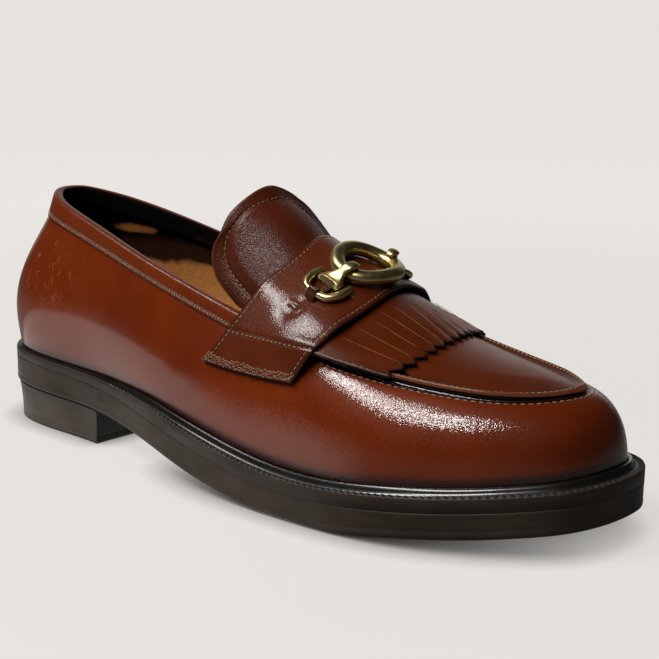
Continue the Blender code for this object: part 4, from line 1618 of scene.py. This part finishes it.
@dataclass
class Kiltie:
    """Pinked flap over the apron, with fine slits."""

    finishes: Finishes
    teeth: int = 13
    per_tooth: int = 10
    rows: int = 40
    reach: float = 1.07
    rear: float = 190.0
    rear_bow: float = 4.0
    front: float = 224.0
    front_bow: float = 6.0
    front_skew: float = 3.6
    tooth: float = 2.7
    tooth_start: float = 0.55
    thickness: float = 1.3
    lift: float = 2.4
    slits: int = 11

    def surface(self, across: Array, share: Array) -> Array:
        """Points of the flap's outer face.

        Args:
            across: Columns, from the outer to the inner side.
            share: Rows, 0 at the rear to 1 at the pinked edge.

        Returns:
            Grid of points.
        """
        rear = self.rear + self.rear_bow * (1.0 - across**2)
        front = self.front + self.front_bow * (1.0 - across**2) - self.front_skew * across
        phase = (across / self.reach + 1.0) / 2.0 * self.teeth
        saw = np.abs(2.0 * (phase - np.floor(phase)) - 1.0) - 1.0
        tip = ease((share - self.tooth_start) / (1.0 - self.tooth_start))
        points = []
        for column, place in enumerate(across):
            x = rear[column] + (front[column] - rear[column]) * share + self.tooth * saw[column] * tip
            points.append(LAST.over(lambda angle: LAST.instep(angle, place), x))
        points = np.array(points).transpose(1, 0, 2)
        edge = ease((np.abs(across) - 0.72) / 0.25)[None, :]
        dome = 0.9 * np.sin(math.pi * np.clip(share, 0.0, 1.0))[:, None] * (1.0 - across**2)[None, :]
        lift = self.lift + 1.3 * edge + dome + self.thickness - 0.8 * tip[:, None]
        return points + grid_normals(points) * lift[..., None]

    def build(self) -> None:
        """Flap, the stitches along its sides and its slits."""
        across = np.linspace(-self.reach, self.reach, self.teeth * self.per_tooth + 1)
        share = np.linspace(0.0, 1.0, self.rows)
        face = self.surface(across, share)
        # Darker at the pinked edge and the sides, burnished; darker at the rear as painted shadow of the
        # strap's front edge.
        front = ease((share - 0.8) / 0.2)[:, None] * np.ones(len(across))
        sides = np.exp(-(self.reach - np.abs(across)) * 14.0)[None, :]
        rear = np.exp(-share * 5.0)[:, None]
        marks = {"burnish_and_shade": np.clip(0.18 * front + 0.5 * sides + 0.35 * rear, 0.0, 1.0)}
        finishes = [self.finishes.apron, self.finishes.edge]
        item = piece("kiltie_flap", sheet(face, marks), finishes, ["kiltie"])
        thicken(item, self.thickness, 1, 1)
        sewn = slice(self.rows - 7)
        edges = [(face[sewn, column], grid_normals(face)[sewn, column]) for column in (1, -2)]
        thread = Thread(1.1, 1.0, 0.36, 0.0, 10.0, 35.0)
        thread.sew("kiltie_edge_thread", edges, self.finishes.thread, "apron_leather")
        phases = (np.arange(self.slits) + 1.5) / self.teeth
        lines = []
        for index, place in enumerate(phases):
            start = 0.34 + 0.06 * (index % 3)
            strip = (2.0 * place - 1.0) * self.reach + np.array([-0.01, 0.0, 0.01])
            line = self.surface(strip, np.linspace(start, 1.0, 12))
            lines.append((line[:, 1], grid_normals(line)[:, 1]))
        Thread(60.0, 25.0, 0.22, 0.0).sew("kiltie_slits", lines, self.finishes.slit, "apron_leather")


@dataclass
class Strap:
    """Saddle strap over the instep, its tabs sewn to the two walls."""

    finishes: Finishes
    columns: int = 221
    rows: int = 61
    wall_girth: float = 0.22
    ramp_girth: float = 0.2
    end_share: float = 0.584
    end_slant: float = 0.00207
    slant_x: float = 170.0
    lift_rear: float = 2.4
    lift_front: float = 4.7
    lift_wall: float = 0.6
    thickness: float = 2.2
    thread_inset: float = 2.4
    seam_girth: float = 0.125
    seam_slant: float = 0.06
    slot_girth: float = 0.278
    slot_share: float = 0.46

    def under(self, columns: int, rows: int, rounds: int, trimmed: bool) -> Array:
        """Grid of the strap's underside, rows from its rear to its front edge.

        Args:
            columns: Points over the instep.
            rows: Points along the shoe.
            rounds: How far the bend over the seam is softened.
            trimmed: Whether its edges are cut as worn, or as on the solid.

        Returns:
            Points of the underside, lifted off the upper.
        """
        girths = np.linspace(0.0, 1.0, columns)
        shares = np.linspace(0.0, 1.0, rows)
        rear = spline(STRAP_EDGES["girth"], STRAP_EDGES["rear"], girths)
        front = spline(STRAP_EDGES["girth"], STRAP_EDGES["front"], girths)
        if trimmed:
            rear = rear + spline(STRAP_TRIM["girth"], STRAP_TRIM["rear"], girths)
            front = front + spline(STRAP_TRIM["girth"], STRAP_TRIM["front"], girths)
        points = []
        for column, girth in enumerate(girths):
            x = rear[column] + (front[column] - rear[column]) * shares
            points.append(self.on_girth(girth, x))
        points = soften(np.array(points).transpose(1, 0, 2), rounds, 1)
        top = ease(np.minimum(girths, 1.0 - girths) / self.ramp_girth)
        over = self.lift_rear + (self.lift_front - self.lift_rear) * ease(shares)[:, None]
        lift = self.lift_wall + (over - self.lift_wall) * top[None, :]
        return points + grid_normals(points) * lift[..., None]

    def on_girth(self, girth: float, x: Array) -> Array:
        """Points of the upper: up the outer wall, over the instep and down the inner wall.

        Args:
            girth: Place over the instep, 0 at the outer tab's end to 1 at the inner one's.
            x: Places along the shoe.

        Returns:
            A point for each x.
        """
        if self.wall_girth <= girth <= 1.0 - self.wall_girth:
            across = 2.0 * (girth - self.wall_girth) / (1.0 - 2.0 * self.wall_girth) - 1.0
            return LAST.over(lambda angle: LAST.instep(angle, across), x)
        share = min(girth, 1.0 - girth) / self.wall_girth

        def side(angle: Array) -> Array:
            """Points of the wall at the strap's height."""
            end = self.end_share + self.end_slant * (LAST.outline(angle)[..., 0] - self.slant_x)
            return LAST.wall(TURN - angle if girth > 0.5 else angle, end + (1.0 - end) * share)

        return LAST.over(side, x)

    def face(self) -> Array:
        """Grid of the strap's outer face."""
        under = self.under(self.columns, self.rows, 26, True)
        return under + grid_normals(under) * self.thickness

    def edge_distance(self, face: Array) -> tuple[Array, Array]:
        """Distances from the strap's edges.

        Args:
            face: Grid of the strap's outer face.

        Returns:
            Distance of each point from the long edges, and from the tab ends.
        """
        across = run_length(face)
        along = run_length(face.transpose(1, 0, 2)).T
        return np.minimum(across, across[-1] - across), np.minimum(along, along[:, -1:] - along)

    def build(self) -> None:
        """Strap with the slot of its keeper, its stitches and the rough border of its tabs."""
        face = self.face()
        normals = grid_normals(face)
        long_edge, tab_edge = self.edge_distance(face)
        near = np.minimum(long_edge, tab_edge)
        roll = -0.75 * (1.0 - ease(near / 1.3))
        channel = -0.22 * bell(long_edge, self.thread_inset, 0.6) - 0.3 * bell(tab_edge, 2.2, 0.8)
        girths = np.linspace(0.0, 1.0, self.columns)
        shares = np.linspace(0.0, 1.0, self.rows)
        seam_at = self.seam_girth + self.seam_slant * shares[:, None]
        half_girth = np.minimum(girths, 1.0 - girths)[None, :]
        seam = -0.3 * bell(half_girth, seam_at, 0.008) + 0.25 * bell(half_girth, seam_at + 0.025, 0.02)
        shoulder = 0.9 * bell(half_girth, 0.285, 0.045)
        row = round(self.slot_share * (self.rows - 1))
        centre = face[row, round(self.slot_girth * (self.columns - 1))]
        along = run_length(face) - run_length(face)[row]
        apart = np.sqrt(np.maximum(np.sum((face - centre) ** 2, -1) - along**2, 0.0))
        keeper = 0.7 * np.exp(-((along / 3.4) ** 4) - (apart / 1.7) ** 2)
        keeper -= 1.1 * np.exp(-((along / 4.4) ** 2) - (apart / 5.6) ** 2)
        keeper -= 1.1 * np.exp(-((along / 2.5) ** 4) - (apart / 0.6) ** 2)
        ripple = 0.12 * np.sin(face[..., 0] / 4.3 + face[..., 1] / 6.1) * np.sin(face[..., 1] / 5.2)
        face = face + normals * (roll + channel + seam + shoulder + keeper + ripple)[..., None]
        # Burnished edges, with painted shade in the stitch channel, along the side seam and in the keeper's
        # slot.
        burnish_and_shade = 0.6 * (1.0 - ease(near / 1.4)) + 0.35 * bell(long_edge, self.thread_inset, 0.5)
        burnish_and_shade += 0.4 * bell(half_girth, seam_at, 0.007) + 0.15 * np.exp(-near / 4.0)
        burnish_and_shade += 0.7 * np.exp(-((along / 2.6) ** 4) - (apart / 0.7) ** 2)
        build = sheet(face, {"burnish_and_shade": np.clip(burnish_and_shade, 0.0, 1.0)})
        finishes = [self.finishes.strap, self.finishes.edge]
        item = piece("strap_band", build, finishes, ["saddle_strap"])
        thicken(item, self.thickness - 0.2, 1, 1)
        self.sew(face, normals, seam_at[:, 0])

    def sew(self, face: Array, normals: Array, seam_at: Array) -> None:
        """Rows of stitches along the strap's edges, over its side seam and round its tabs.

        Args:
            face: Grid of the strap's outer face.
            normals: Its normals.
            seam_at: Girth of the side seam in each row.
        """
        across = run_length(face)
        edges, tabs = [], []
        for reach in (across, across[-1] - across):
            line, facing = (at_distance(values, reach, self.thread_inset) for values in (face, normals))
            edges.append((line[2:-2], facing[2:-2]))
        tall, tall_normals = face.transpose(1, 0, 2), normals.transpose(1, 0, 2)
        along = run_length(tall)
        girths = np.repeat(np.linspace(0.0, 1.0, self.columns)[:, None], self.rows, axis=1)
        for reach, half in ((along, girths), (along[-1] - along, 1.0 - girths)):
            level = half - np.broadcast_to(seam_at, half.shape)
            line, facing = (at_distance(values, level, 0.0) for values in (tall, tall_normals))
            edges.append((line[1:-1], facing[1:-1]))
            for inset in (1.0, 2.2, 3.4):
                line, facing = (at_distance(values, reach, inset) for values in (tall, tall_normals))
                tabs.append((line[1:-1], facing[1:-1]))
        for row in (0, 1, 2):
            tabs.append((face[row, :9], normals[row, :9]))
        Thread(2.2, 1.55, 0.42, 0.02).sew("strap_thread", edges, self.finishes.thread, "dark_leather")
        Thread(1.1, 1.3, 0.36, 0.04, 15.0, 50.0).sew("tab_thread", tabs, self.finishes.thread, "dark_leather")


@dataclass
class Collar:
    """Band that folds over the collar's edge, sewn along its foot with two rows."""

    finishes: Finishes
    columns: int = 241
    height: float = 10.5
    fall: float = 1.5
    fall_end: float = 150.0
    puff: float = 1.5
    wall: float = 1.9
    inside: float = 6.0
    crest: float = 0.35
    foot_lift: float = 0.55
    flat: float = 0.75

    def build(self) -> None:
        """Band and its stitches."""
        last = LAST.throat - 0.02
        angles = np.linspace(-last, last, self.columns)
        height = self.height - self.fall * ease(LAST.outline(angles)[:, 0] / self.fall_end)
        top, foot = LAST.wall(angles, 1.0), LAST.wall(angles, 0.0)
        start = 1.0 - height / (top[:, 2] - foot[:, 2])
        parts = np.linspace(0.0, 1.0, 26)
        outer = LAST.wall(angles[None, :], start[None, :] + (1.0 - start[None, :]) * parts[:, None])
        normals = grid_normals(outer)
        swell = np.sin(np.clip(parts * 1.15, 0.0, 1.0) * math.pi / 2.0)
        lift = self.foot_lift + (self.puff - self.foot_lift) * swell - 0.3 * bell(parts * 10.0, 1.7, 0.7)
        face = outer + normals * lift[:, None, None]
        rise = unit(outer[-1] - outer[-2])
        side = normals[-1]
        radius = self.wall / 2.0 + lift[-1]
        sink = self.flat * radius - self.crest
        middle = top - side * (self.wall / 2.0) - rise * sink
        face = face - rise[None] * (sink * parts**2)[:, None, None]
        fold = [
            middle + radius * (side * math.cos(turn) + self.flat * rise * math.sin(turn))
            for turn in np.linspace(0.0, math.pi, 13)[1:]
        ]
        down = [fold[-1] - rise * drop - side * 0.05 * drop for drop in np.linspace(0.0, self.inside, 9)[1:]]
        points = np.concatenate([face, np.array(fold), np.array(down)])
        low = np.concatenate([np.exp(-parts * 5.0) * 0.6, np.linspace(0.15, 0.6, 12), np.full(8, 1.0)])
        within = np.concatenate([np.zeros(len(parts)), np.arange(20) > 6])
        marks = {"burnish_and_shade": low, "within": within}
        marks = {name: np.repeat(value[:, None], self.columns, axis=1) for name, value in marks.items()}
        build = sheet(points, marks)
        layer = build.verts.layers.float["within"]
        for face_part in build.faces:
            face_part.material_index = int(min(vert[layer] for vert in face_part.verts) > 0.5)
        finishes = [self.finishes.collar, self.finishes.lining, self.finishes.edge]
        item = piece("collar_fold", build, finishes, ["collar_band"])
        thicken(item, 0.5, 1, 1)
        threads = (
            ("collar_thread", 5, Thread(1.5, 2.0, 0.46, 0.08, 38.0, 8.0)),
            ("collar_foot_thread", 3, Thread(1.5, 1.3, 0.42, 0.08, -30.0, 10.0)),
        )
        for name, row, thread in threads:
            thread.sew(name, [(face[row], normals[row])], self.finishes.thread, "upper")


@dataclass
class Tongue:
    """Tongue behind the strap: a border, a row of stitches and a soft filled middle."""

    finishes: Finishes
    rows: int = 44
    columns: int = 241
    crest: float = 0.9
    spine: float = 0.62
    middle_y: float = 0.6
    arch: float = 0.0248
    arch_ease: float = 0.47
    skew: float = 0.56
    narrow: float = 0.18
    narrow_end: float = 0.2
    tuck: float = 0.05
    tuck_depth: float = 4.2
    tuck_width: float = 0.76
    tuck_end: float = 0.08
    blend_start: float = 0.06
    blend_length: float = 0.24
    thickness: float = 2.4
    border: float = 6.4
    calm_foot: float = 95.0
    calm_reach: float = 13.0

    def half(self, along: Array) -> Array:
        """Half of the tongue's width, closing in a round end.

        Args:
            along: Shares of the tongue's length, 0 at its foot.

        Returns:
            Half of the width at each.
        """
        closing = np.clip(along - self.crest, 0.0, None) / (1.0 - self.crest)
        half = spline(TONGUE["along"], TONGUE["half_width"], along)
        return half * np.sqrt(np.maximum(1.0 - closing**2.0, 0.0))

    def surface(self, along: Array, across: Array) -> Array:
        """Points of the tongue's outer face.

        Args:
            along: Shares of the tongue's length, 0 at its foot.
            across: Shares of its half width, from -1 to 1.

        Returns:
            A point for each pair of shares.
        """
        values = np.stack([TONGUE["x"], TONGUE["z"]], -1)
        x, z = np.moveaxis(spline(TONGUE["along"], values, along), -1, 0)
        half = self.half(along)
        ahead = spline(TONGUE["along"], values, np.minimum(along + 0.02, 1.0))
        behind = spline(TONGUE["along"], values, np.maximum(along - 0.02, 0.0))
        slope = np.arctan2(ahead[..., 1] - behind[..., 1], behind[..., 0] - ahead[..., 0])
        narrow = self.narrow + self.narrow_end * ease((along - 0.5) / 0.4)
        side = across * half * (1.0 - narrow * ease(across))
        arch = self.arch * (1.0 - self.arch_ease * ease((along - 0.5) / 0.5))
        drop = arch * side * side * (1.0 - self.skew * across)
        bowed = np.stack([x - np.sin(slope) * drop, self.middle_y + side, z - np.cos(slope) * drop], -1)
        tuck = LAST.instep(LAST.throat + self.tuck * (1.0 - along / self.tuck_end), across * self.tuck_width)
        tuck[..., 2] -= self.tuck_depth
        share = ease((along - self.blend_start) / self.blend_length)[..., None]
        return tuck * (1.0 - share) + bowed * share

    def build(self) -> None:
        """Tongue and its stitches."""
        points, near = fan(self.surface, self.half, (0.0, self.spine, 1.0), self.columns, self.rows)
        normals = fan_normals(points)
        roll = -0.5 * (1.0 - ease(near / 1.2))
        calm = 1.0 - 0.95 * ease((points[..., 2] - self.calm_foot) / self.calm_reach)
        channel = -0.45 * bell(near, self.border, 0.7)
        filled = 1.5 * ease((near - self.border) / 5.0)
        face = points + normals * (roll + (channel + filled) * calm)[..., None]
        # Darker near the edge, burnished, and painted shade in the stitched channel; the lighter rim at the
        # edge is rubbed wear with a painted highlight.
        burnish_and_shade = 0.35 * bell(near, 1.6, 1.0) + 0.5 * bell(near, self.border, 0.6)
        marks = {"burnish_and_shade": np.clip(burnish_and_shade, 0.0, 1.0), "rub": 0.8 * (1.0 - ease(near / 0.8))}
        build = sheet(close_middle(face), marks, 0.000002)
        finishes = [self.finishes.tongue, self.finishes.backing, self.finishes.edge]
        item = piece("tongue_leaf", build, finishes, ["tongue"])
        thicken(item, self.thickness, 1, 2, even=False)
        line, facing = (at_distance(values, near, self.border) for values in (face, normals))
        seam = [(line[6:-6], facing[6:-6])]
        Thread(2.3, 1.6, 0.42, 0.05).sew("tongue_thread", seam, self.finishes.thread, "dark_leather")


@dataclass
class Buckle:
    """Oval link between two stirrups, each with a T-shaped bar hooked over the link's end."""

    finishes: Finishes
    strap: Strap
    share: float = 0.52
    girth: float = 0.505
    gap: float = 0.35
    half_across: float = 13.3
    half_along: float = 10.9
    link_slide: float = 0.8
    wire: float = 2.95
    wire_flat: float = 0.92
    bend: float = 1.9
    bar_step: float = 0.133
    bar_lean: float = 2.0
    hook: float = 4.15
    keeper_half: float = 2.1
    hook_turns: tuple[float, ...] = (150.0, 115.0, 80.0, 45.0)
    bar_knots: tuple[float, ...] = (0.0, 0.16, 0.42, 0.62, 0.82, 1.0)

    def __post_init__(self) -> None:
        """Keep the strap's face that the frames are read from."""
        columns, rows = 27, 7
        under = self.strap.under(columns, rows, 0, False)
        face = under + grid_normals(under) * self.strap.thickness
        self.face = face.transpose(1, 0, 2).reshape(columns, -1)
        self.girths = np.linspace(0.0, 1.0, columns)
        self.shares = np.linspace(0.0, 1.0, rows)

    def frame(self, girth: float, height: float) -> tuple[Array, Array, Array, Array]:
        """Place over the strap.

        Args:
            girth: Place over the instep.
            height: Distance off the strap.

        Returns:
            A point, and the directions across, along and off the strap.
        """

        def point(at_girth: float, at_share: float) -> Array:
            """Point of the strap's face."""
            column = spline(self.girths, self.face, at_girth).reshape(len(self.shares), 3)
            return spline(self.shares, column, at_share)

        nudge = 0.03
        across = unit(point(girth + nudge, self.share) - point(girth - nudge, self.share))
        along = point(girth, self.share + nudge) - point(girth, self.share - nudge)
        along = unit(along - across * np.dot(along, across))
        off = np.cross(along, across)
        return point(girth, self.share) + off * height, across, along, off

    def stirrup_frame(self, side: Side) -> tuple[Array, Array, Array, Array]:
        """Middle of a stirrup, and the directions across, along and off the strap."""
        return self.frame(self.girth + side.value * self.bar_step, STIRRUP["wire"].max() + self.gap)

    def link_frame(self) -> tuple[Array, Array, Array, Array]:
        """Centre of the oval link, and the directions across, along and off it."""
        centre, across, along, off = self.frame(self.girth, self.wire + self.gap)
        return centre + along * self.link_slide, across, along, off

    def tube(
        self, path: Array, radii: Array, up: Array, closed: bool, flat: float = 1.0
    ) -> bmesh.types.BMesh:
        """Wire swept along a path.

        Args:
            path: Points of its middle line.
            radii: Its radius at each.
            up: Direction off the strap.
            closed: Whether the path is a loop.
            flat: Height of the section over its width.

        Returns:
            The mesh.
        """
        if closed:
            ahead = unit(np.roll(path, -1, axis=0) - np.roll(path, 1, axis=0))
        else:
            ahead = unit(np.gradient(path, axis=0))
        beside = unit(np.cross(ahead, up))
        rise = unit(np.cross(beside, ahead))
        turns = np.arange(24) * TURN / 24
        wide = np.cos(turns)[:, None, None] * beside[None] * radii[None, :, None]
        tall = np.sin(turns)[:, None, None] * rise[None] * (radii * flat)[None, :, None]
        section = (path[None] + wide + tall).transpose(1, 0, 2)
        if closed:
            section = np.concatenate([section, section[:1]])
        return join([mesh_grid(section, True, {})])

    def build_link(self) -> None:
        """Oval link, bent to the instep."""
        centre, across, along, off = self.link_frame()
        turns = np.arange(96) * TURN / 96
        side = np.cos(turns)[:, None]
        path = centre + across * self.half_across * side + along * self.half_along * np.sin(turns)[:, None]
        path = path - off * self.bend * side**2
        build = self.tube(path, np.full(96, self.wire), off, True, self.wire_flat)
        piece("link_oval", build, [self.finishes.brass], ["buckle_link"])

    def build_stirrup(self, side: Side) -> None:
        """Stirrup at one end of the buckle.

        Args:
            side: Side of the foot.
        """
        centre, across, along, off = self.stirrup_frame(side)
        values = np.stack([STIRRUP["across"], STIRRUP["along"], STIRRUP["wire"]], -1)
        half = spline(np.linspace(0.0, 1.0, len(values)), values, np.linspace(0.0, 1.0, 80))
        path = np.concatenate([half, half[-2::-1] * np.array([1.0, -1.0, 1.0])])
        points = centre - side.value * across * path[:, :1] + along * path[:, 1:2]
        tip = np.array([0.05, 0.45, 0.75, 0.93])
        radii = path[:, 2].copy()
        radii[:4] *= tip
        radii[-4:] *= tip[::-1]
        build = self.tube(points, radii, off, False)
        bmesh.ops.holes_fill(build, edges=build.edges, sides=30)
        name = side.name.lower()
        piece("stirrup_" + name, build, [self.finishes.brass], ["buckle_stirrup_" + name])

    def build_keeper(self, side: Side) -> None:
        """Leather strip that holds a stirrup, over its closed end and down to the barrel.

        Args:
            side: Side of the foot.
        """
        centre, across, along, off = self.stirrup_frame(side)
        run = np.linspace(KEEPER["run"][0], KEEPER["run"][-1], 40)
        level = spline(KEEPER["run"], KEEPER["rise"], run)
        wide = np.linspace(-1.0, 1.0, 13)[None, :, None]
        points = centre - side.value * across * run[:, None, None] + along * self.keeper_half * wide
        points = points + off * (level[:, None, None] - 0.25 * wide**6)
        marks = {"burnish_and_shade": np.broadcast_to(0.45 + 0.5 * np.abs(wide[..., 0]) ** 8, points.shape[:2])}
        finishes = [self.finishes.strap, self.finishes.edge]
        item = piece("keeper_" + side.name.lower(), sheet(points, marks), finishes)
        thicken(item, 0.9, 0, 1)

    def build_bar(self, side: Side) -> None:
        """T-shaped bar: a barrel between the stirrup's arms and a tab over the link's end.

        Args:
            side: Side of the foot.
        """
        depth = BAR_SECTIONS["depth"].max()
        barrel, _, along, _ = self.frame(self.girth + side.value * self.bar_step, depth / 2.0 + self.gap)
        centre, across, _, over = self.link_frame()
        end = centre + side.value * across * self.half_across - over * self.bend
        inwards = -side.value * across
        towards = end - barrel
        towards = unit(towards - along * np.dot(towards, along))
        start = [barrel - towards * depth / 2.0, barrel]
        turns = np.radians(self.hook_turns)
        hook = [end + self.hook * (inwards * math.cos(turn) + over * math.sin(turn)) for turn in turns]
        runs = np.sort(np.concatenate([np.linspace(0.0, 1.0, 44), [0.01, 0.03, 0.97, 0.99]]))
        lean = self.bar_lean * ease((runs - 0.25) / 0.6)
        path = spline(self.bar_knots, np.array(start + hook), runs) + along * lean[:, None]
        ahead = np.gradient(path, axis=0)
        up = unit(np.cross(ahead, along) * side.value)
        width = spline(BAR_SECTIONS["run"], BAR_SECTIONS["width"], runs) / 2.0
        tall = spline(BAR_SECTIONS["run"], BAR_SECTIONS["depth"], runs) / 2.0
        turns = np.arange(28) * TURN / 28
        wide = np.sign(np.cos(turns)) * np.abs(np.cos(turns)) ** 0.85
        deep = np.sign(np.sin(turns)) * np.abs(np.sin(turns)) ** 0.85
        section = path[:, None] + along * (width[:, None] * wide)[..., None]
        section = section + up[:, None] * (tall[:, None] * deep)[..., None]
        build = join([mesh_grid(section, True, {})])
        bmesh.ops.holes_fill(build, edges=build.edges, sides=40)
        bmesh.ops.recalc_face_normals(build, faces=build.faces)
        name = side.name.lower()
        piece("bar_" + name, build, [self.finishes.brass], ["buckle_bar_" + name])


@dataclass(frozen=True)
class Lamp:
    """Soft area light: its place, aim, width and height in metres, its power in watts and its colour."""

    name: str
    place: Colour
    aim: Colour
    size: tuple[float, float]
    power: float
    tint: Colour = (1.0, 0.98, 0.95)

    def build(self) -> None:
        """Hang the light."""
        data = bpy.data.lights.new(self.name, "AREA")
        data.shape = "RECTANGLE"
        data.size, data.size_y = self.size
        data.energy = self.power
        data.color = self.tint
        item = bpy.data.objects.new(self.name, data)
        item.location = self.place
        way = Vector(self.aim) - Vector(self.place)
        item.rotation_euler = way.to_track_quat("-Z", "Y").to_euler()
        bpy.context.scene.collection.objects.link(item)


@dataclass
class Studio:
    """Floor, light and the camera at the photograph's angle."""

    azimuth: float = 38.682
    elevation: float = 11.32
    roll: float = 0.903
    distance: float = 500.0
    focal: float = 1256.41
    slide: tuple[float, float] = (-18.635, -9.548)
    target: tuple[float, float, float] = (150.0, 0.0, 45.0)
    frame_width: float = 659.0
    sensor: float = 36.0
    ground: Colour = (0.791, 0.761, 0.737)
    ground_dark: Colour = (0.78, 0.75, 0.725)
    glow: float = 0.85
    table_glow: float = 1.1
    table_middle: Colour = (-0.2, -0.17, 0.0)
    table_reach: Colour = (0.36, 0.16, 1.0)
    table_turn: float = 45.0
    table_dim: float = 0.15
    dim: float = 0.03
    bright: float = 1.0
    lamps: tuple[Lamp, ...] = (
        Lamp("key", (-0.41, -0.50, 1.06), (0.05, -0.04, 0.05), (0.72, 0.25), 15.0),
        Lamp("fill", (0.14, -0.83, 0.95), (0.08, -0.04, 0.05), (0.5, 0.18), 11.5),
    )

    def place_camera(self) -> None:
        """Camera fitted to the photograph."""
        azimuth, elevation, roll = np.radians([self.azimuth, self.elevation, self.roll])
        level = math.cos(elevation)
        back = np.array([math.sin(azimuth) * level, -math.cos(azimuth) * level, math.sin(elevation)])
        right = np.array([math.cos(azimuth), math.sin(azimuth), 0.0])
        up = np.cross(back, right)
        axis_x = right * math.cos(roll) + up * math.sin(roll)
        axis_y = up * math.cos(roll) - right * math.sin(roll)
        eye = np.array(self.target) - self.slide[0] * axis_x - self.slide[1] * axis_y + self.distance * back
        place = Matrix(np.column_stack([axis_x, axis_y, back]).tolist()).to_4x4()
        place.translation = Vector(((eye - ORIGIN) * MM).tolist())
        camera = bpy.data.objects.new("camera", bpy.data.cameras.new("camera"))
        camera.data.lens = self.focal * self.sensor / self.frame_width
        camera.data.sensor_width = self.sensor
        camera.data.clip_start = 0.01
        camera.matrix_world = place
        bpy.context.scene.collection.objects.link(camera)
        bpy.context.scene.camera = camera

    def build_world(self) -> None:
        """Pale backdrop, bright behind the shoe and dim round the camera."""
        world = bpy.data.worlds.new("studio")
        world.use_nodes = True
        tree = world.node_tree
        sky = tree.nodes["Background"]
        way = tree.nodes.new("ShaderNodeTexCoord")
        behind = tree.nodes.new("ShaderNodeVectorMath")
        behind.operation = "DOT_PRODUCT"
        turn = math.radians(self.azimuth)
        behind.inputs[1].default_value = (-math.sin(turn), math.cos(turn), 0.1)
        lobe = tree.nodes.new("ShaderNodeMapRange")
        lobe.interpolation_type = "SMOOTHSTEP"
        levels = {"From Min": 0.75, "From Max": 0.99, "To Min": self.dim, "To Max": self.bright}
        for name, value in levels.items():
            lobe.inputs[name].default_value = value
        path = tree.nodes.new("ShaderNodeLightPath")
        seen = tree.nodes.new("ShaderNodeMath")
        seen.operation = "MAXIMUM"
        tree.links.new(way.outputs["Generated"], behind.inputs[0])
        tree.links.new(behind.outputs["Value"], lobe.inputs["Value"])
        tree.links.new(lobe.outputs["Result"], seen.inputs[0])
        tree.links.new(path.outputs["Is Camera Ray"], seen.inputs[1])
        tree.links.new(seen.outputs["Value"], sky.inputs["Strength"])
        sky.inputs["Color"].default_value = (*self.ground, 1.0)
        bpy.context.scene.world = world

    def build_floor(self) -> None:
        """Pale floor, bright round the shoe, with a painted contact shadow where the shoe touches it."""
        build = bmesh.new()
        bmesh.ops.create_grid(build, x_segments=1, y_segments=1, size=30.0)
        data = bpy.data.meshes.new("floor")
        build.to_mesh(data)
        build.free()
        nodes = Nodes("floor")
        far = nodes.vector("LENGTH", nodes.object).outputs["Value"]
        cloud = nodes.remap(nodes.noise(2.0, 2.0), 0.3, 0.7, 0.0, 0.04)
        tone = nodes.mix(cloud, self.ground, self.ground_dark)
        seen = nodes.remap(far, 0.15, 1.1, self.glow, 1.0)
        spread = nodes.add("ShaderNodeMapping", vector_type="TEXTURE")
        nodes.feed(spread, Vector=nodes.object, Location=self.table_middle, Scale=self.table_reach)
        nodes.feed(spread, Rotation=(0.0, 0.0, math.radians(self.table_turn)))
        reach = nodes.vector("LENGTH", spread.outputs["Vector"]).outputs["Value"]
        dim = nodes.remap(far, 0.25, 0.6, self.table_dim, 0.06)
        table = nodes.math("MAXIMUM", nodes.remap(reach, 0.92, 1.06, self.table_glow, 0.0), dim)
        # Painted contact shadow: the glow the camera sees is darkened by occlusion near the shoe.
        painted_contact_shadow = nodes.add("ShaderNodeAmbientOcclusion", samples=8)
        nodes.feed(painted_contact_shadow, Distance=0.012)
        seen = nodes.math("MULTIPLY", seen, painted_contact_shadow.outputs["AO"])
        path = nodes.add("ShaderNodeLightPath").outputs["Is Camera Ray"]
        table = nodes.math("MULTIPLY", table, nodes.math("SUBTRACT", 1.0, path))
        strength = nodes.math("ADD", nodes.math("MULTIPLY", seen, path), table)
        nodes.feed(nodes.shader, Base_Color=(0.08, 0.077, 0.074, 1.0), Roughness=0.95, Specular_IOR_Level=0.0)
        nodes.feed(nodes.shader, Emission_Color=tone, Emission_Strength=strength)
        data.materials.append(nodes.material)
        floor = bpy.data.objects.new("floor", data)
        bpy.context.scene.collection.objects.link(floor)

    def build(self) -> None:
        """Floor, world, lights and camera."""
        self.build_floor()
        self.build_world()
        for lamp in self.lamps:
            lamp.build()
        bpy.context.scene.view_settings.view_transform = "Standard"
        self.place_camera()


def main() -> None:
    """Build every piece of the shoe and the studio round it."""
    logging.basicConfig(level=logging.INFO, format="%(name)s %(message)s")
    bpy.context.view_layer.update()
    finishes = Finishes()
    sole = Sole(finishes)
    sole.build_outsole()
    sole.build_heel()
    sole.build_insole()
    Welt(finishes).build()
    upper = Upper(finishes)
    upper.build_wall()
    upper.sew_seam()
    Apron(finishes).build()
    Kiltie(finishes).build()
    strap = Strap(finishes)
    strap.build()
    Collar(finishes).build()
    Tongue(finishes).build()
    buckle = Buckle(finishes, strap)
    buckle.build_link()
    for side in Side:
        buckle.build_stirrup(side)
        buckle.build_bar(side)
        buckle.build_keeper(side)
    Studio().build()
    bpy.context.view_layer.update()


if __name__ == "__main__":
    main()
